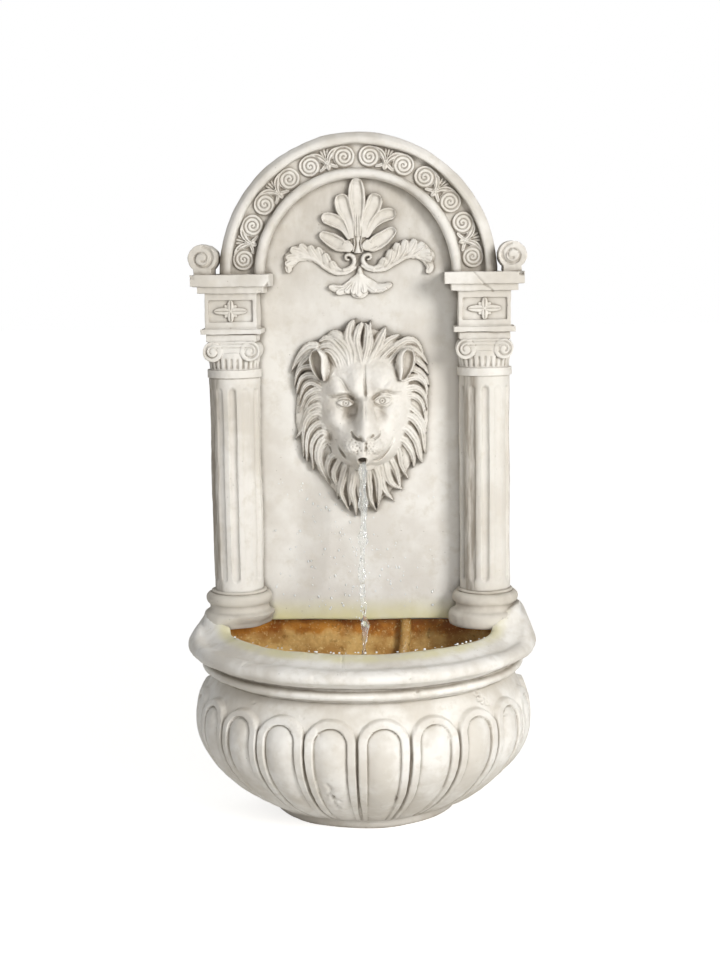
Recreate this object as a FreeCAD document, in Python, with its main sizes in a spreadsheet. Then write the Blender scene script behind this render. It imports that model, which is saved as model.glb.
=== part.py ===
# Garden wall fountain: a half-round basin with a gadrooned bowl, and above it a columned niche with a
# round arch, a lion mask that spouts water and a small pump that lifts the water again.
# Millimetres. X is the width, the wall is on the +Y side and Z is up. The origin is under the middle.
import FreeCAD, Part
import Sketcher
import math
import os

from FreeCAD import Placement, Rotation, Vector

document = FreeCAD.newDocument("garden_wall_fountain")

# Driving sizes, one per row: alias, value and what it is. A depth is a distance in front of the wall.
SIZES = [
    ("rim_radius", 200, "outer radius of the basin's rim"),
    ("rim_centre", 50, "depth of the centre of the rim's circle"),
    ("lip_radius", 160, "inner radius of the rim"),
    ("basin_height", 224, "top of the basin's lip"),
    ("rim_slope", 10, "fall of the rim's top from the lip to the torus"),
    ("torus_half", 9, "half height of the rim's torus"),
    ("torus_bulge", 10, "how far the torus stands out of the rim"),
    ("bead_height", 7, "height of the bead under the rim"),
    ("bead_radius", 187, "radius of the bead under the rim"),
    ("neck_radius", 171, "radius of the neck over the bowl"),
    ("neck_height", 170, "height of the neck's narrowest place"),
    ("gadroon_top", 158, "height where the gadroons end"),
    ("belly_radius", 188, "radius of the bowl at its widest, in the valleys"),
    ("belly_height", 118, "height of the bowl's widest place"),
    ("gadroon_relief", 7, "how far a gadroon bulges out of the bowl"),
    ("gadroon_count", 12, "gadroons from wall to wall"),
    ("foot_radius", 106, "radius of the foot"),
    ("foot_centre", 10, "depth of the centre of the foot's circle"),
    ("foot_height", 11, "height of the foot"),
    ("basin_wall", 12, "thickness of the bowl's wall"),
    ("basin_floor", 16, "thickness of the basin's floor"),
    ("basin_back", 10, "thickness of the basin's back wall"),
    ("seat_depth", 20, "height of the pad on the rim under a column base"),
    ("panel_face", 34, "depth of the niche panel's face"),
    ("panel_wall", 8, "thickness of the niche panel and its sides"),
    ("pier_half_width", 166, "half width of the niche panel beside the columns"),
    ("cover_thick", 4, "thickness of the rear cover"),
    ("column_offset", 141, "column axis from the middle of the fountain"),
    ("column_depth", 54, "depth of the column axis"),
    ("base_height", 42, "height of a column base"),
    ("base_radius", 42, "radius of a column base's lower torus"),
    ("base_torus", 37, "radius of a column base's upper torus"),
    ("shaft_radius", 28.5, "radius of a column shaft"),
    ("shaft_height", 243, "height of a column shaft"),
    ("flute_radius", 5, "radius of the cutter of a flute"),
    ("flute_margin", 11, "plain shaft above and below a flute"),
    ("flute_count", 7, "flutes on the round side of a shaft"),
    ("flute_pitch", 31, "angle from flute to flute"),
    ("necking_radius", 30.5, "radius of the necking ring"),
    ("necking_height", 9, "height of the necking ring"),
    ("echinus_height", 19, "height of the echinus"),
    ("bolster_height", 13, "height of the band between the volutes"),
    ("capital_neck", 8, "height of the block over the volutes"),
    ("capital_width", 64, "width over the volutes"),
    ("capital_front", 82, "depth of the capital's front"),
    ("volute_radius", 11, "radius of a capital's volute"),
    ("block_width", 58, "width of the frieze block"),
    ("block_front", 80, "depth of the frieze block's front"),
    ("block_height", 39.5, "height of the frieze block"),
    ("recess_width", 49, "width of the sunk field in the frieze block"),
    ("recess_height", 24, "height of the sunk field in the frieze block"),
    ("recess_depth", 3, "depth of the sunk field in the frieze block"),
    ("cap_width", 68, "width of the fillet under the frieze block"),
    ("cap_height", 6, "height of the fillet under the frieze block"),
    ("step_width", 74, "width of the step under the cornice"),
    ("step_height", 7.5, "height of the step under the cornice"),
    ("cornice_width", 88, "width of the cornice"),
    ("cornice_front", 88, "depth of the cornice's front"),
    ("cornice_height", 13, "height of the cornice"),
    ("arch_radius", 156, "outer radius of the arch"),
    ("arch_chamfer", 6, "slope on the outer edge of the arch"),
    ("arch_front", 22, "how far the arch stands out of the panel"),
    ("outer_fillet", 7, "width of the arch's outer band"),
    ("frieze_width", 26.5, "width of the arch's sunk frieze"),
    ("frieze_rise", 9, "how far the frieze's ground stands out of the panel"),
    ("inner_fillet", 11, "width of the arch's inner band"),
    ("ornament_spread", 8.4, "angle from an ornament's middle to its spirals"),
    ("ornament_relief", 5, "how far an ornament stands out of the frieze"),
    ("spiral_radius", 11.3, "radius of an ornament's spiral"),
    ("scroll_radius", 15.5, "radius of the scroll on a cornice"),
    ("scroll_offset", 172, "scroll axis from the middle of the fountain"),
    ("scroll_front", 76, "depth of the scroll's front"),
    ("scroll_rise", 18, "height of the scroll's axis over the cornice"),
    ("relief", 9, "how far the carved leaves stand out of the panel"),
    ("palmette_rise", 51, "height of the palmette's root over the cornice"),
    ("palmette_length", 53.5, "length of the palmette's middle leaf"),
    ("acanthus_span", 66, "middle of the acanthus scrolls' outer leaf from the centre line"),
    ("pendant_length", 32, "length of the pendant leaf"),
    ("mask_rise", 246, "height of the mask's middle over the basin"),
    ("mask_offset", 4, "how far the mask's face sits off the centre line"),
    ("mane_half_width", 79, "half width of the mane"),
    ("mane_half_height", 92, "half height of the mane's round part"),
    ("mane_relief", 24, "how far the mane stands out of the panel"),
    ("lock_count", 13, "locks round the mane's upper edge"),
    ("muzzle_front", 106, "depth of the muzzle's tip"),
    ("mouth_drop", 52, "drop of the spout under the mask's middle"),
    ("spout_radius", 6, "outer radius of the spout tube"),
    ("spout_bore", 4.5, "inner radius of the spout tube"),
    ("spout_tip", 98, "depth of the spout tube's tip"),
    ("loose_fit", 0.1, "radial clearance of tubes and screws in their holes"),
    ("turning_fit", 0.05, "radial clearance of turning and sliding fits"),
    ("part_gap", 0.3, "clearance between a moving piece and its neighbours"),
    ("hose_radius", 6.5, "outer radius of the riser hose"),
    ("hose_bore", 4.5, "inner radius of the riser hose"),
    ("hose_offset", 50, "riser hose from the middle of the fountain"),
    ("hose_depth", 13, "depth of the riser hose's axis behind the panel"),
    ("pump_offset", 30, "pump axis from the middle of the fountain"),
    ("pump_back", 16, "depth of the pump's rear face"),
    ("pump_width", 46, "width of the pump"),
    ("pump_height", 42, "height of the pump"),
    ("pump_length", 34, "length of the pump's motor block"),
    ("foot_pad_height", 4, "height of a pump foot"),
    ("foot_pad_radius", 6, "radius of a pump foot"),
    ("chamber_length", 13, "length of the impeller chamber"),
    ("chamber_bore", 13, "radius of the impeller chamber"),
    ("chamber_side", 5, "side wall of the impeller chamber"),
    ("chamber_wall", 2.5, "front wall of the impeller chamber"),
    ("spigot_length", 3, "length of the spigot that carries the intake cover"),
    ("spigot_wall", 2.5, "wall of the spigot that carries the intake cover"),
    ("inlet_count", 4, "inlet holes in the chamber's front wall"),
    ("inlet_radius", 2.6, "radius of an inlet hole"),
    ("inlet_offset", 8.8, "inlet holes from the pump's axis"),
    ("well_bore", 8.5, "radius of the rotor's well"),
    ("well_depth", 27, "depth of the rotor's well"),
    ("rotor_radius", 7.6, "radius of the rotor's magnet"),
    ("impeller_radius", 11.5, "radius of the impeller"),
    ("impeller_length", 6, "length of the impeller's vanes"),
    ("impeller_plate", 1.5, "thickness of the impeller's back plate"),
    ("vane_thick", 1.4, "thickness of a vane"),
    ("shaft_pin_radius", 1.5, "radius of the rotor's ceramic shaft"),
    ("bush_radius", 3.2, "radius of the rubber bushes that hold the shaft"),
    ("bush_length", 3, "length of a rubber bush"),
    ("bush_floor", 1.5, "thickness of the chamber's wall in front of its bush"),
    ("bush_cup", 1.5, "wall round the chamber's bush"),
    ("core_thick", 7, "width of the stator core's legs"),
    ("core_wall", 1.5, "plastic between the rotor's well and the core"),
    ("core_length", 18, "length of the stator's core along the pump"),
    ("core_rise", 8, "height of the core's legs over the pump's axis"),
    ("yoke_height", 4, "height of the core's yoke under the rotor"),
    ("coil_wall", 2, "thickness of the winding round the yoke"),
    ("seal_section", 1.2, "section radius of the chamber's seal"),
    ("outlet_height", 12, "height of the outlet barb over the chamber"),
    ("cover_length", 15, "length of the pump's intake cover"),
    ("cover_wall", 2, "wall of the pump's intake cover"),
    ("slot_count", 5, "intake slots in the cover"),
    ("slot_width", 2.5, "width of an intake slot"),
    ("dial_radius", 6.5, "radius of the flow dial"),
    ("dial_thick", 4, "thickness of the flow dial"),
    ("dial_stem", 2.5, "radius of the flow dial's stem"),
    ("stem_length", 4, "length of the flow dial's stem"),
    ("plug_offset", 45, "drain plug from the middle of the fountain"),
    ("plug_depth", 58, "depth of the drain plug's axis"),
    ("plug_radius", 8, "radius of the drain hole"),
    ("plug_flange", 12, "radius of the drain plug's flange"),
    ("plug_flange_thick", 3, "thickness of the drain plug's flange"),
    ("screw_radius", 1.5, "radius of a cover screw's shank"),
    ("screw_length", 11, "length of a cover screw's shank"),
    ("screw_head", 3.2, "radius of a cover screw's head"),
    ("screw_head_thick", 1.8, "thickness of a cover screw's head"),
    ("hanger_offset", 100, "keyhole from the middle of the fountain"),
    ("hanger_rise", 330, "height of the keyholes over the basin"),
    ("hanger_thick", 2, "thickness of a hanger plate"),
    ("keyhole_radius", 5, "radius of a keyhole's entry"),
    ("keyhole_slot", 2.5, "half width of a keyhole's slot"),
    ("keyhole_travel", 10, "height of a keyhole's slot over its entry"),
    ("cable_rise", 60, "height of the cable outlet over the basin"),
    ("cable_offset", 90, "cable outlet from the middle of the fountain"),
    ("cable_bore", 4, "radius of the cable outlet"),
    ("grommet_radius", 7, "radius of the cable grommet in the cover"),
    ("dowel_offset", 172, "locating dowels from the middle of the fountain"),
    ("dowel_radius", 4, "radius of a locating dowel"),
    ("dowel_length", 30, "length of a locating dowel"),
]

sheet = document.addObject("Spreadsheet::Sheet", "Sizes")
for row, (alias, number, note) in enumerate(SIZES, start=1):
    sheet.set(f"A{row}", alias)
    sheet.set(f"B{row}", str(number))
    sheet.set(f"C{row}", note)
    sheet.setAlias(f"B{row}", alias)
document.recompute()

# Expressions that many pieces share.
WALL = "(Sizes.rim_radius + Sizes.rim_centre) / 2"
RIM = "Sizes.basin_height"
SHAFT_FOOT = f"({RIM} + Sizes.base_height)"
NECKING = f"({SHAFT_FOOT} + Sizes.shaft_height)"
ECHINUS = f"({NECKING} + Sizes.necking_height)"
BOLSTER = f"({ECHINUS} + Sizes.echinus_height)"
CAPITAL_NECK = f"({BOLSTER} + Sizes.bolster_height)"
CAP = f"({CAPITAL_NECK} + Sizes.capital_neck)"
BLOCK = f"({CAP} + Sizes.cap_height)"
STEP = f"({BLOCK} + Sizes.block_height)"
CORNICE = f"({STEP} + Sizes.step_height)"
SPRINGING = f"({CORNICE} + Sizes.cornice_height)"
MASK = f"({RIM} + Sizes.mask_rise)"
SPOUT = f"({MASK} - Sizes.mouth_drop)"
PUMP_FLOOR = "(Sizes.basin_floor + Sizes.foot_pad_height)"
PUMP_AXIS = f"({PUMP_FLOOR} + Sizes.pump_height / 2)"
PUMP_NOSE = "(Sizes.pump_back + Sizes.pump_length)"
CHAMBER_FRONT = f"({PUMP_NOSE} + Sizes.chamber_length)"

ALONG_X = Rotation(Vector(0, 1, 0), 90)
TO_FRONT = Rotation(Vector(1, 0, 0), 90)
UPRIGHT = Rotation()

kept = []


def size(alias):
    """The value of one driving size."""
    return float(sheet.get(alias))


def depth(distance):
    """The Y expression of a place that far in front of the wall."""
    return f"{WALL} - ({distance})"


def keep(thing, label):
    """Give a finished sub-part its name and put it on the list of pieces."""
    thing.Label = label
    kept.append(thing)
    return thing


def place(thing, x, y, z, rotation=UPRIGHT):
    """Turn an object and tie its place to expressions."""
    thing.Placement = Placement(Vector(), rotation)
    thing.setExpression("Placement.Base.x", x)
    thing.setExpression("Placement.Base.y", y)
    thing.setExpression("Placement.Base.z", z)
    return thing


def block(name, middle, width, back, front, bottom, top):
    """A box by its middle in X, its two depths and its two heights."""
    box = document.addObject("Part::Box", name)
    box.setExpression("Length", width)
    box.setExpression("Width", f"({front}) - ({back})")
    box.setExpression("Height", f"({top}) - ({bottom})")
    return place(box, f"({middle}) - ({width}) / 2", depth(front), bottom)


def rod(name, radius, length, x, y, z, rotation=UPRIGHT):
    """A cylinder from its start point along the turned Z axis."""
    cylinder = document.addObject("Part::Cylinder", name)
    cylinder.setExpression("Radius", radius)
    cylinder.setExpression("Height", length)
    return place(cylinder, x, y, z, rotation)


def egg(name, across, out, up, x, y, z):
    """An ellipsoid by its half sizes in X, Y and Z."""
    ellipsoid = document.addObject("Part::Ellipsoid", name)
    ellipsoid.Angle1 = -90
    ellipsoid.Angle2 = 90
    ellipsoid.setExpression("Radius1", up)
    ellipsoid.setExpression("Radius2", across)
    ellipsoid.setExpression("Radius3", out)
    return place(ellipsoid, x, y, z)


def fuse(name, *pieces):
    """One solid of several that overlap or touch."""
    union = document.addObject("Part::MultiFuse", name)
    union.Shapes = list(pieces)
    return union


def cut(name, base, tool):
    """A solid less another."""
    result = document.addObject("Part::Cut", name)
    result.Base = base
    result.Tool = tool
    return result


def group(name, *pieces):
    """Several separate solids as one compound."""
    compound = document.addObject("Part::Compound", name)
    compound.Links = list(pieces)
    return compound


def plain(name, shape):
    """A shape that is made in code from the sheet's values."""
    feature = document.addObject("Part::Feature", name)
    feature.Shape = shape
    return feature


def body_plane(body, role):
    """One of a body's own origin planes."""
    return next(item for item in body.Origin.OriginFeatures if item.Role == role)


def outline_sketch(body, name, role, corners):
    """A closed outline of straight lines, each corner tied to a pair of expressions."""
    sketch = body.newObject("Sketcher::SketchObject", name)
    sketch.AttachmentSupport = (body_plane(body, role), [""])
    sketch.MapMode = "FlatFace"
    count = len(corners)
    start = [Vector(5 + 3 * index, 4 + (index % 2) + 2 * index, 0) for index in range(count)]
    for index in range(count):
        sketch.addGeometry(Part.LineSegment(start[index], start[(index + 1) % count]), False)
    for index in range(count):
        sketch.addConstraint(Sketcher.Constraint("Coincident", index, 2, (index + 1) % count, 1))
    for index, (across, up) in enumerate(corners):
        tie_start(sketch, index, across, "DistanceX", -2)
        tie_start(sketch, index, up, "DistanceY", -1)
    return sketch


def tie_start(sketch, line, expression, kind, axis):
    """Tie a line's start to an axis or to a distance from the origin."""
    if expression == "0":
        sketch.addConstraint(Sketcher.Constraint("PointOnObject", line, 1, axis))
        return
    point = sketch.Geometry[line].StartPoint
    reading = point.x if kind == "DistanceX" else point.y
    index = sketch.addConstraint(Sketcher.Constraint(kind, -1, 1, line, 1, reading))
    sketch.setExpression(f"Constraints[{index}]", expression)


def turned(name, corners, sweep=360):
    """A body turned about its own Z axis from an outline of radius and height."""
    body = document.addObject("PartDesign::Body", name)
    sketch = outline_sketch(body, f"{name}_outline", "XZ_Plane", corners)
    turn = body.newObject("PartDesign::Revolution", f"{name}_turn")
    turn.Profile = sketch
    turn.ReferenceAxis = (sketch, ["V_Axis"])
    turn.Angle = sweep
    return body


# The basin: one casting with its foot, its gadrooned bowl, its moulded rim and its back wall.
def rim_arc(radius, centre_depth, height, lobes=2, bulge=0.0):
    """A closed wire: a circle's arc from wall to wall in equal lobes, closed by a line on the wall."""
    wall = (size("rim_radius") + size("rim_centre")) / 2
    half_turn = math.pi / 2 + math.asin(centre_depth / radius)
    centre = Vector(0, wall - centre_depth, height)

    def on_circle(share, extra=0.0):
        angle = half_turn * (2 * share - 1)
        reach = radius + extra
        return centre + Vector(reach * math.sin(angle), -reach * math.cos(angle), 0)

    ends = [on_circle(index / lobes) for index in range(lobes + 1)]
    ends[0].y = wall
    ends[-1].y = wall
    edges = []
    for index in range(lobes):
        crown = on_circle((index + 0.5) / lobes, bulge)
        edges.append(Part.Arc(ends[index], crown, ends[index + 1]).toShape())
    edges.append(Part.LineSegment(ends[-1], ends[0]).toShape())
    return Part.Wire(edges)


def bowl_centre(radius):
    """Depth of the centre of the bowl's circle of that radius: the bowl leans to the wall at its foot."""
    lean = (size("rim_centre") - size("foot_centre")) / (size("rim_radius") - size("foot_radius"))
    return size("foot_centre") + lean * (radius - size("foot_radius"))


def bowl_profile(height):
    """Radius of the bowl in the valleys between the gadroons."""
    foot = size("foot_height")
    belly = size("belly_height")
    if height < belly:
        share = (belly - height) / (belly - foot)
        return size("belly_radius") - (size("belly_radius") - size("foot_radius") - 3) * share ** 1.9
    share = (height - belly) / (size("neck_height") - belly)
    return size("belly_radius") - (size("belly_radius") - size("neck_radius")) * share ** 2


def rim_levels():
    """Radius and height of the mouldings from the neck up to the lip."""
    bead = size("bead_height")
    torus = size("torus_half")
    top = size("basin_height")
    torus_middle = top - size("rim_slope") - torus
    torus_root = size("rim_radius") - size("torus_bulge")
    bead_middle = torus_middle - torus - 1.7 * bead
    levels = [(bowl_profile(size("gadroon_top")), size("gadroon_top")),
              (size("neck_radius"), size("neck_height")),
              (size("bead_radius") - bead, bead_middle - bead * 0.6)]
    for angle in (-60, -20, 20, 60):
        turn = math.radians(angle)
        levels.append((size("bead_radius") - bead / 2 + bead / 2 * math.cos(turn),
                       bead_middle + bead / 2 * math.sin(turn)))
    levels.append((size("bead_radius") - bead / 2, bead_middle + bead * 0.75))
    for angle in (-80, -50, -25, 0, 25, 50, 80):
        turn = math.radians(angle)
        levels.append((torus_root + size("torus_bulge") * math.cos(turn),
                       torus_middle + torus * math.sin(turn)))
    slope_start = levels[-1][0]
    slope_end = size("lip_radius") + 5
    for share in (0.35, 0.7, 1.0):
        levels.append((slope_start + (slope_end - slope_start) * share,
                       top - size("rim_slope") * (1 - share) ** 1.6))
    return levels


def make_basin():
    """The basin's casting, without the holes for the drain and the dowels."""
    foot = Part.makeLoft([
        rim_arc(size("foot_radius"), size("foot_centre"), 0),
        rim_arc(size("foot_radius"), size("foot_centre"), size("foot_height")),
    ], True, True)
    lobes = int(size("gadroon_count"))
    steps = 8
    rise = size("gadroon_top") - size("foot_height")
    wires = []
    for step in range(steps + 1):
        share = step / steps
        height = size("foot_height") + rise * share
        radius = bowl_profile(height)
        swell = math.sin(math.pi * min(1.0, 0.12 + 0.95 * share)) ** 0.6
        bulge = max(0.6, size("gadroon_relief") * swell)
        wires.append(rim_arc(radius, bowl_centre(radius), height, lobes, bulge))
    bowl = Part.makeLoft(wires, True, False)
    top_wires = []
    for radius, height in rim_levels():
        top_wires.append(rim_arc(radius, bowl_centre(radius), height))
    rim = Part.makeLoft(top_wires, True, True)
    shell = foot.fuse(bowl).fuse(rim)
    wall = (size("rim_radius") + size("rim_centre")) / 2
    for side in (-1, 1):
        pad_centre = Vector(side * size("column_offset"), wall - size("column_depth"), 0)
        pad_centre.z = size("basin_height") - size("seat_depth")
        shell = shell.fuse(Part.makeCylinder(size("base_radius"), size("seat_depth"), pad_centre))
    return shell.cut(make_cavity())


def make_cavity():
    """The space inside the basin, open at the top and flat at the back."""
    wall = size("basin_wall")
    back = size("basin_back")
    top = size("basin_height")
    belly = size("belly_height")
    floor = size("basin_floor")
    heights = [floor, floor + 9, floor + 27, floor + 52, belly, top - 1.5 * size("seat_depth"), top + 1]
    wires = []
    for height in heights:
        if height > belly + 1:
            radius = size("lip_radius")
            centre = size("rim_centre")
        else:
            radius = min(bowl_profile(max(height, size("foot_height"))) - wall, size("lip_radius") + 14)
            centre = bowl_centre(radius + wall)
        wires.append(rim_arc(radius, centre, height))
    inside = Part.makeLoft(wires, True, True)
    box = Part.makeBox(2 * size("rim_radius"), size("rim_radius") * 2, top + 2)
    limit = (size("rim_radius") + size("rim_centre")) / 2 - back
    box.translate(Vector(-size("rim_radius"), limit - 2 * size("rim_radius"), 0))
    return inside.common(box)


def build_basin():
    """The basin with its drain hole and its two dowel holes."""
    casting = plain("basin_casting", make_basin())
    drain = rod("drain_hole", "Sizes.plug_radius", "Sizes.basin_floor + 2",
                "-Sizes.plug_offset", depth("Sizes.plug_depth"), "-1")
    holes = [drain]
    for side, word in ((-1, "left"), (1, "right")):
        holes.append(rod(f"dowel_hole_{word}", "Sizes.dowel_radius + Sizes.loose_fit",
                         "Sizes.dowel_length / 2 + 1", f"{side} * Sizes.dowel_offset",
                         depth("Sizes.column_depth"), f"{RIM} - Sizes.dowel_length / 2"))
    keep(cut("basin_bowl", casting, group("basin_holes", *holes)), "basin_bowl")


build_basin()


# The tower: a cast panel with returns to the wall, closed by a sheet at the back.
def build_niche_panel():
    """The panel's shell: piers, arch field and sides, open at the back and at the bottom."""
    outer = fuse(
        "panel_outer",
        block("panel_pier", "0", "2 * Sizes.pier_half_width", "Sizes.cover_thick", "Sizes.panel_face",
              RIM, SPRINGING),
        rod("panel_arch", "Sizes.arch_radius", "Sizes.panel_face - Sizes.cover_thick",
            "0", depth("Sizes.cover_thick"), SPRINGING, TO_FRONT))
    inside = "Sizes.panel_face - Sizes.panel_wall"
    hollow = fuse(
        "panel_hollow",
        block("panel_pier_hollow", "0", "2 * (Sizes.pier_half_width - Sizes.panel_wall)", "Sizes.cover_thick",
              inside, f"{RIM} - 1", f"{SPRINGING} - Sizes.panel_wall"),
        rod("panel_arch_hollow", "Sizes.arch_radius - Sizes.panel_wall", f"{inside} - Sizes.cover_thick",
            "0", depth("Sizes.cover_thick"), SPRINGING, TO_FRONT))
    shell = cut("panel_shell", outer, hollow)
    spout_hole = rod("panel_spout_hole", "Sizes.spout_radius + Sizes.loose_fit", "2 * Sizes.panel_face",
                     "Sizes.mask_offset", depth("0"), SPOUT, TO_FRONT)
    tools = [spout_hole]
    for index, (x, z) in enumerate(cover_screw_places()):
        tools.append(rod(f"panel_screw_hole_{index + 1}", "Sizes.screw_radius + Sizes.loose_fit",
                         "Sizes.screw_length", x, depth("Sizes.cover_thick"), z, TO_FRONT))
    keep(cut("niche_panel", shell, fuse("panel_tools", *tools)), "niche_panel")


def cover_screw_places():
    """X and Z expressions of the screws: three down each pier and three round the arch."""
    pier = "(Sizes.pier_half_width - Sizes.panel_wall / 2)"
    places = []
    for side in (-1, 1):
        for share in (0.08, 0.5, 0.92):
            places.append((f"{side} * {pier}", f"{RIM} + {share} * ({SPRINGING} - {RIM})"))
    reach = "(Sizes.arch_radius - Sizes.panel_wall / 2)"
    for angle in (35, 90, 145):
        across = round(math.cos(math.radians(angle)), 4)
        up = round(math.sin(math.radians(angle)), 4)
        places.append((f"{across} * {reach}", f"{SPRINGING} + {up} * {reach}"))
    return places


def build_rear_cover():
    """The sheet that closes the tower's back, with its screws, its hangers and the cable outlet."""
    sheet_metal = fuse(
        "cover_outline",
        block("cover_pier", "0", "2 * Sizes.pier_half_width", "0", "Sizes.cover_thick", RIM, SPRINGING),
        rod("cover_arch", "Sizes.arch_radius", "Sizes.cover_thick", "0", depth("0"), SPRINGING, TO_FRONT))
    tools = []
    screws = []
    for index, (x, z) in enumerate(cover_screw_places()):
        number = index + 1
        tools.append(rod(f"cover_screw_hole_{number}", "Sizes.screw_radius + Sizes.loose_fit",
                         "Sizes.cover_thick + 1", x, depth("-0.5"), z, TO_FRONT))
        tools.append(rod(f"cover_screw_sink_{number}", "Sizes.screw_head + Sizes.loose_fit",
                         "Sizes.screw_head_thick + 1", x, depth("-1"), z, TO_FRONT))
        shank = rod(f"screw_shank_{number}", "Sizes.screw_radius", "Sizes.screw_length - 1",
                    x, depth("Sizes.screw_head_thick / 2"), z, TO_FRONT)
        head = rod(f"screw_head_{number}", "Sizes.screw_head", "Sizes.screw_head_thick",
                   x, depth("0"), z, TO_FRONT)
        screws.append(fuse(f"screw_{number}", head, shank))
    hanger_height = f"({RIM} + Sizes.hanger_rise)"
    for side, word in ((-1, "left"), (1, "right")):
        middle = f"{side} * Sizes.hanger_offset"
        tools.append(hanger_outline(f"hanger_recess_{word}", middle, "-1"))
        tools.append(rod(f"hanger_relief_{word}", "Sizes.keyhole_radius + 2", "Sizes.cover_thick + 1",
                         middle, depth("-0.5"), hanger_height, TO_FRONT))
        tools.append(block(f"hanger_slot_relief_{word}", middle, "2 * Sizes.keyhole_radius + 4", "-0.5",
                           "Sizes.cover_thick + 0.5", hanger_height,
                           f"{hanger_height} + Sizes.keyhole_travel + 4"))
    tools.append(rod("cable_hole", "Sizes.grommet_radius", "Sizes.cover_thick + 1",
                     "-Sizes.cable_offset", depth("-0.5"), f"{RIM} + Sizes.cable_rise", TO_FRONT))
    keep(cut("rear_cover", sheet_metal, fuse("cover_tools", *tools)), "rear_cover")
    keep(group("cover_screws", *screws), "cover_screws")
    for side, word in ((-1, "left"), (1, "right")):
        middle = f"{side} * Sizes.hanger_offset"
        plate = hanger_outline(f"hanger_blank_{word}", middle, "0")
        entry = rod(f"keyhole_entry_{word}", "Sizes.keyhole_radius", "Sizes.hanger_thick + 2",
                    middle, depth("-1"), hanger_height, TO_FRONT)
        slot = block(f"keyhole_slot_{word}", middle, "2 * Sizes.keyhole_slot", "-1", "Sizes.hanger_thick + 1",
                     hanger_height, f"{hanger_height} + Sizes.keyhole_travel")
        end = rod(f"keyhole_end_{word}", "Sizes.keyhole_slot", "Sizes.hanger_thick + 2", middle, depth("-1"),
                  f"{hanger_height} + Sizes.keyhole_travel", TO_FRONT)
        keyhole = fuse(f"keyhole_{word}", entry, slot, end)
        keep(cut(f"hanger_plate_{word}", plate, keyhole), f"hanger_plate_{word}")


def hanger_outline(name, middle, back):
    """A hanger plate's blank, let into the cover's back."""
    low = f"{RIM} + Sizes.hanger_rise - 2 * Sizes.keyhole_radius"
    high = f"{RIM} + Sizes.hanger_rise + Sizes.keyhole_travel + 2 * Sizes.keyhole_radius"
    return block(name, middle, "5 * Sizes.keyhole_radius", back, "Sizes.hanger_thick", low, high)


def build_cable_grommet():
    """A rubber ring in the cover, with a lip on each side of the sheet."""
    ring = turned("cable_grommet", [
        ("Sizes.cable_bore", "0"),
        ("Sizes.grommet_radius", "0"),
        ("Sizes.grommet_radius", "Sizes.cover_thick"),
        ("Sizes.grommet_radius + 2", "Sizes.cover_thick"),
        ("Sizes.grommet_radius + 2", "Sizes.cover_thick + 2"),
        ("Sizes.cable_bore", "Sizes.cover_thick + 2"),
    ])
    place(ring, "-Sizes.cable_offset", depth("0"), f"{RIM} + Sizes.cable_rise", TO_FRONT)
    keep(ring, "cable_grommet")


def build_arch_moulding():
    """The arch over the niche: an inner band, a sunk frieze and an outer band with a sloped edge."""
    outer = "(Sizes.arch_radius - Sizes.arch_chamfer - Sizes.outer_fillet)"
    frieze = f"({outer} - Sizes.frieze_width)"
    inner = f"({frieze} - Sizes.inner_fillet)"
    ring = turned("arch_moulding", [
        (inner, "0"),
        ("Sizes.arch_radius", "0"),
        ("Sizes.arch_radius", "Sizes.arch_front - Sizes.arch_chamfer"),
        (f"{outer} + Sizes.outer_fillet", "Sizes.arch_front"),
        (f"{outer} + 2", "Sizes.arch_front"),
        (outer, "Sizes.arch_front - 3"),
        (outer, "Sizes.frieze_rise"),
        (frieze, "Sizes.frieze_rise"),
        (frieze, "Sizes.arch_front - 5"),
        (f"{frieze} - 3", "Sizes.arch_front - 3"),
        (f"{inner} + 3", "Sizes.arch_front - 4"),
        (inner, "Sizes.arch_front - 7"),
    ], 180)
    place(ring, "0", depth("Sizes.panel_face"), SPRINGING, TO_FRONT)
    keep(ring, "arch_moulding")


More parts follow.
